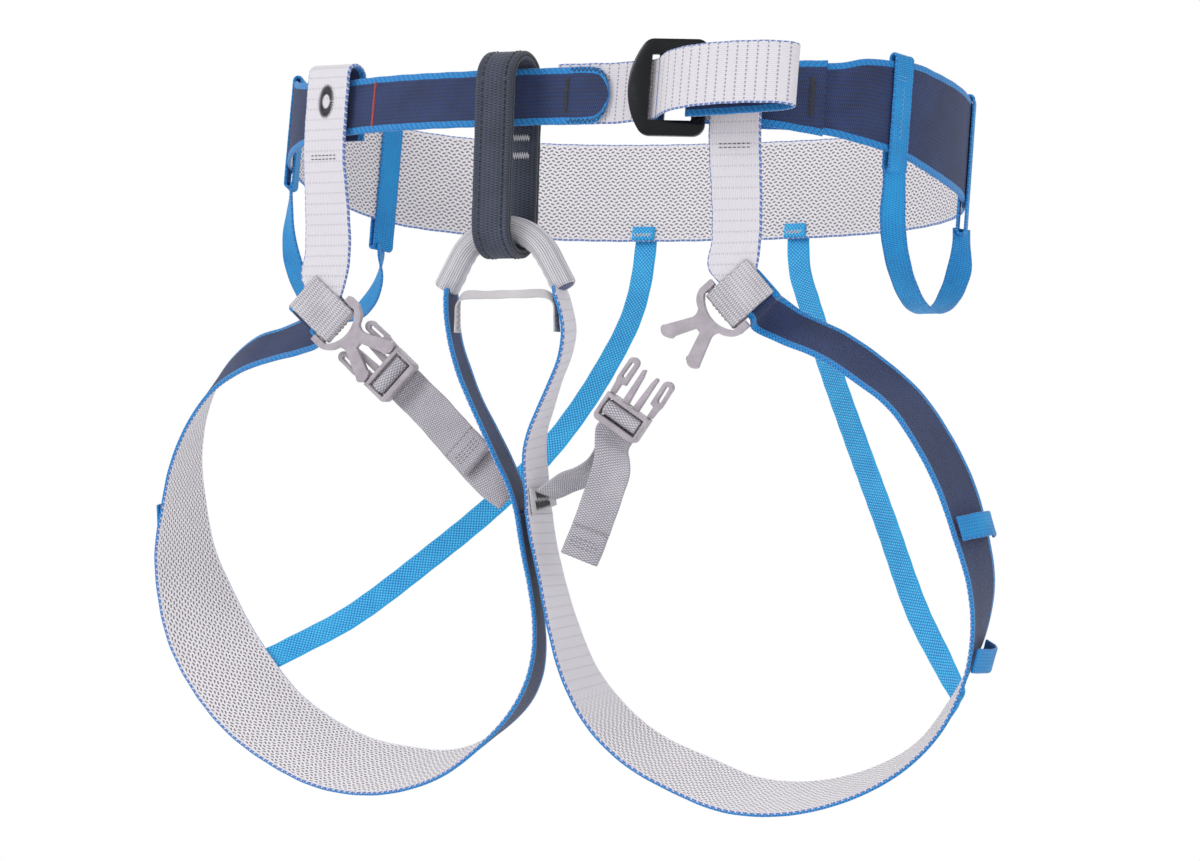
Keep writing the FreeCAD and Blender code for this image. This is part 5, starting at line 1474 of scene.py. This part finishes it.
def stitched(name, run, lines, thread, side=1, **sizes):
    """Rows of stitches that ride with the ribbon they are sewn to."""
    body = RUN_BODY.get(run, "root")
    slot = "pale_thread" if thread in (PALE_THREAD, GREY_THREAD) else "black_thread"
    return sewn(name, run, lines, thread, slot, body, side, **sizes)


def cross_rows(along, half, count=2, gap=2.2):
    """Rows of stitches across a ribbon, from -half to half, in millimetres."""
    return [((-half, along + gap * k), (half, along + gap * k)) for k in range(count)]


RUN_BODY = {
    "belay_loop_outer_layer": "belay",
    "leg_strap_left_hem_woven": "strap_left",
    "leg_strap_right_hem_woven": "strap_right",
    "buckle_anchor_right_woven": BODY_OF["buckle_anchor_right"],
}


def oval_tack(name, run, centre, half_across, half_along, thread, spokes=34):
    """A satin oval: stitches from a small inner oval out to the edge, all the way round."""
    bm = bmesh.new()
    line = []
    for k in range(2 * spokes + 1):
        swing = math.pi * k / spokes
        size = 1.0 if k % 2 else 0.42
        line.append((centre[0] + half_across * size * math.cos(swing),
                     centre[1] + half_along * size * math.sin(swing)))
    laid_thread(bm, run, line, 1, 0.22)
    return piece(name, bm, (thread,), body="root", slot="black_thread")


RISER_FRONT = {"left": Vector((-112.0, -107.0, 0)), "right": Vector((113.9, -98.0, 0))}
OVAL_HEIGHT, ROW_HEIGHT = 21.6, -5.7
for side in ("left", "right"):
    riser = f"riser_{side}_woven"
    _, height, _ = near(riser, (RISER_FRONT[side] + V(0, 0, ROW_HEIGHT)) * MM)
    stitched(f"riser_{side}_stitches", riser, cross_rows(height, 8.0, gap=1.8), BLACK_THREAD,
             stitch=1.7, gap=0.5)
_, height, _ = near("riser_left_woven", (RISER_FRONT["left"] + V(0, 0, OVAL_HEIGHT)) * MM)
oval_tack("riser_left_oval_tack", "riser_left_woven", (0.0, height), 5.0, 8.5, BLACK_THREAD)

belay_length = float(RUNS["belay_loop_outer_layer"][1][-1])
seams = [[(place, 0.0), (place, belay_length)] for place in (-SEAM_PLACE, SEAM_PLACE)]
stitched("belay_loop_seams", "belay_loop_outer_layer", seams, SLATE_THREAD, radius=0.28)

for side in ("left", "right"):
    anchor, hem = f"buckle_anchor_{side}_woven", f"leg_strap_{side}_hem_woven"
    middle = float(RUNS[anchor][1][-1]) / 2
    stitched(f"buckle_anchor_{side}_stitches", anchor, cross_rows(middle - 1.2, 5.5), GREY_THREAD,
             stitch=1.5, gap=0.6, radius=0.18)
    length = float(RUNS[hem][1][-1])
    stitched(f"leg_strap_{side}_hem_stitches", hem, cross_rows(length * 0.35, 7.5, 3, 2.0), GREY_THREAD,
             stitch=1.5, gap=0.6, radius=0.18)


def strip_zigzag(name):
    """The pale blue zigzag down the front of a gear strip, and two rows near its foot."""
    run = name + "_woven"
    angle, high, low = STRIPS[name]
    origin, out, up = strip_axes(angle)
    place = (origin + up * ((high + low) / 2) + out * 2.6) * MM
    _, along, _ = near(run, place)
    lines = [zigzag_line((0.0, along - 13.0), (0.0, along + 13.0), 0.9, 1.3)]
    lines += [((-4.0, along - 16.0 - 1.8 * k), (4.0, along - 16.0 - 1.8 * k)) for k in range(2)]
    bm = bmesh.new()
    for line in lines:
        laid_thread(bm, run, line, 1, 0.2)
    piece(name + "_stitches", bm, (BLUE_THREAD,), body="root", slot="pale_thread")


for strip_name in STRIPS:
    strip_zigzag(strip_name)


def overlock(name, run, start, end, reach, thread):
    """A zigzag over a ribbon's two edges, between two lengths."""
    rows, lengths, _ = RUNS[run]
    bm = bmesh.new()
    for edge in (-1, 1):
        count = round((end - start) / 1.1)
        line = []
        for k in range(count + 1):
            along = start + (end - start) * k / count
            index = min(int(np.searchsorted(lengths, along)), len(rows) - 1)
            half = float(np.linalg.norm(rows[index, 3:6])) / MM / 2
            line.append((edge * (half - (0.5 if k % 2 else reach)), along))
        laid_thread(bm, run, line, 1, 0.2)
    return piece(name, bm, (thread,), body="root", slot="black_thread")


overlock("waist_tip_overlock", "waist_webbing_woven", 1.0, 21.0, 2.6, BLACK_THREAD)

tab_length = float(RUNS["crotch_tab_woven"][1][-1])
borders = [((place, 1.0), (place, tab_length - 1.0)) for place in (-5.5, 5.5)]
stitched("crotch_tab_stitches", "crotch_tab_woven", borders, PALE_THREAD, stitch=1.4, gap=0.5, radius=0.18)

for side in ("left", "right"):
    run = f"rear_elastic_{side}_woven"
    length = float(RUNS[run][1][-1])
    bm = bmesh.new()
    for along in (3.0, length - 4.0):
        laid_thread(bm, run, zigzag_line((-4.8, along), (4.8, along), 1.3, 0.9), 1, 0.22)
    piece(f"rear_elastic_{side}_stitches", bm, (PALE_THREAD,), body="root", slot="pale_thread")

keeper_length = float(RUNS["bridge_keeper_woven"][1][-1])
for side, start in (("left", 1.0), ("right", keeper_length - 17.0)):
    zigzag = zigzag_line((0.0, start), (0.0, start + 16.0), 1.5, 1.3)
    bm = bmesh.new()
    for face in (-1, 1):
        laid_thread(bm, "bridge_keeper_woven", zigzag, face, 0.16)
    piece(f"bridge_keeper_{side}_stitches", bm, (GREY_THREAD,), body=BODY_OF["bridge_keeper"],
          slot="pale_thread")


def bundled_webbing():
    """The folded webbing inside the sleeve: navy, with fine ribs round it."""
    made = Shader("bundled_webbing", sheen=0.2)
    place = made.node("SeparateXYZ")
    made.tree.links.new(made.node("TexCoord").outputs["Object"], place.inputs[0])
    ribs = made.wave(place.outputs[2], 1.1 * MM)
    tone = made.math("MULTIPLY_ADD", made.noise(900.0), 0.5, made.math("MULTIPLY", ribs, 0.5))
    made.colour(made.mix(tone, linear("#1B2647"), linear("#3D5286")))
    made.rough(ribs, 0.65, 0.8)
    made.bump(ribs, 0.2 * MM)
    return made.material


NODES["bridge_core"].data.materials.clear()
NODES["bridge_core"].data.materials.append(bundled_webbing())

# ---------------------------------------------------------------- floor, light and camera


def stage():
    """A plain pale floor below the harness, which hangs above it."""
    floor_gap, floor_radius = 0.30, 2.6
    bm = bmesh.new()
    bmesh.ops.create_circle(bm, cap_ends=True, radius=floor_radius, segments=96)
    mesh = bpy.data.meshes.new("floor")
    bm.to_mesh(mesh)
    bm.free()
    floor = bpy.data.objects.new("floor", mesh)
    floor.location.z = CAD_BOX[0][2] - floor_gap
    bpy.context.scene.collection.objects.link(floor)
    made = Shader("pale_floor", roughness=0.9)
    made.colour(made.mix(made.noise(6.0), linear("#F4F4F4"), linear("#F8F8F8")))
    mesh.materials.append(made.material)


def area_light(name, place, aim, size, power):
    data = bpy.data.lights.new(name, "AREA")
    data.shape = "DISK"
    data.size = size
    data.energy = power
    lamp = bpy.data.objects.new(name, data)
    lamp.location = place
    lamp.rotation_euler = (Vector(aim) - Vector(place)).to_track_quat("-Z", "Y").to_euler()
    bpy.context.scene.collection.objects.link(lamp)


SOFT_LIGHT = 0.7


def lights():
    """Four large lamps in a white room, whose walls look brighter than the light they give."""
    middle = (0.0, -0.05, -0.14)
    area_light("key", (-1.1, -2.0, 1.3), middle, 1.3, 25.0)
    area_light("fill", (2.2, -1.2, 0.5), middle, 1.6, 12.0)
    area_light("back", (-0.4, 1.9, 1.2), middle, 1.6, 14.0)
    area_light("under", (0.5, -1.6, -1.1), middle, 1.4, 14.0)
    world = bpy.data.worlds.new("studio")
    world.use_nodes = True
    tree = world.node_tree
    background = tree.nodes["Background"]
    background.inputs["Color"].default_value = (1.0, 1.0, 1.0, 1.0)
    seen = tree.nodes.new("ShaderNodeLightPath").outputs["Is Camera Ray"]
    strength = tree.nodes.new("ShaderNodeMapRange")
    strength.inputs["To Min"].default_value = SOFT_LIGHT
    strength.inputs["To Max"].default_value = 1.0
    tree.links.new(seen, strength.inputs["Value"])
    tree.links.new(strength.outputs["Result"], background.inputs["Strength"])
    bpy.context.scene.world = world
    bpy.context.scene.view_settings.view_transform = "Standard"


def camera():
    """Looks level across the harness, from 28 degrees to its right."""
    azimuth, distance = math.radians(28), 2.5
    aim = Vector((-0.011, -0.0059, -0.141))
    data = bpy.data.cameras.new("camera")
    data.lens = 150
    data.sensor_width = 36
    made = bpy.data.objects.new("camera", data)
    made.location = aim + Vector((math.sin(azimuth), -math.cos(azimuth), 0)) * distance
    made.rotation_euler = (math.radians(90), 0, azimuth)
    bpy.context.scene.collection.objects.link(made)
    bpy.context.scene.camera = made


stage()
lights()
camera()
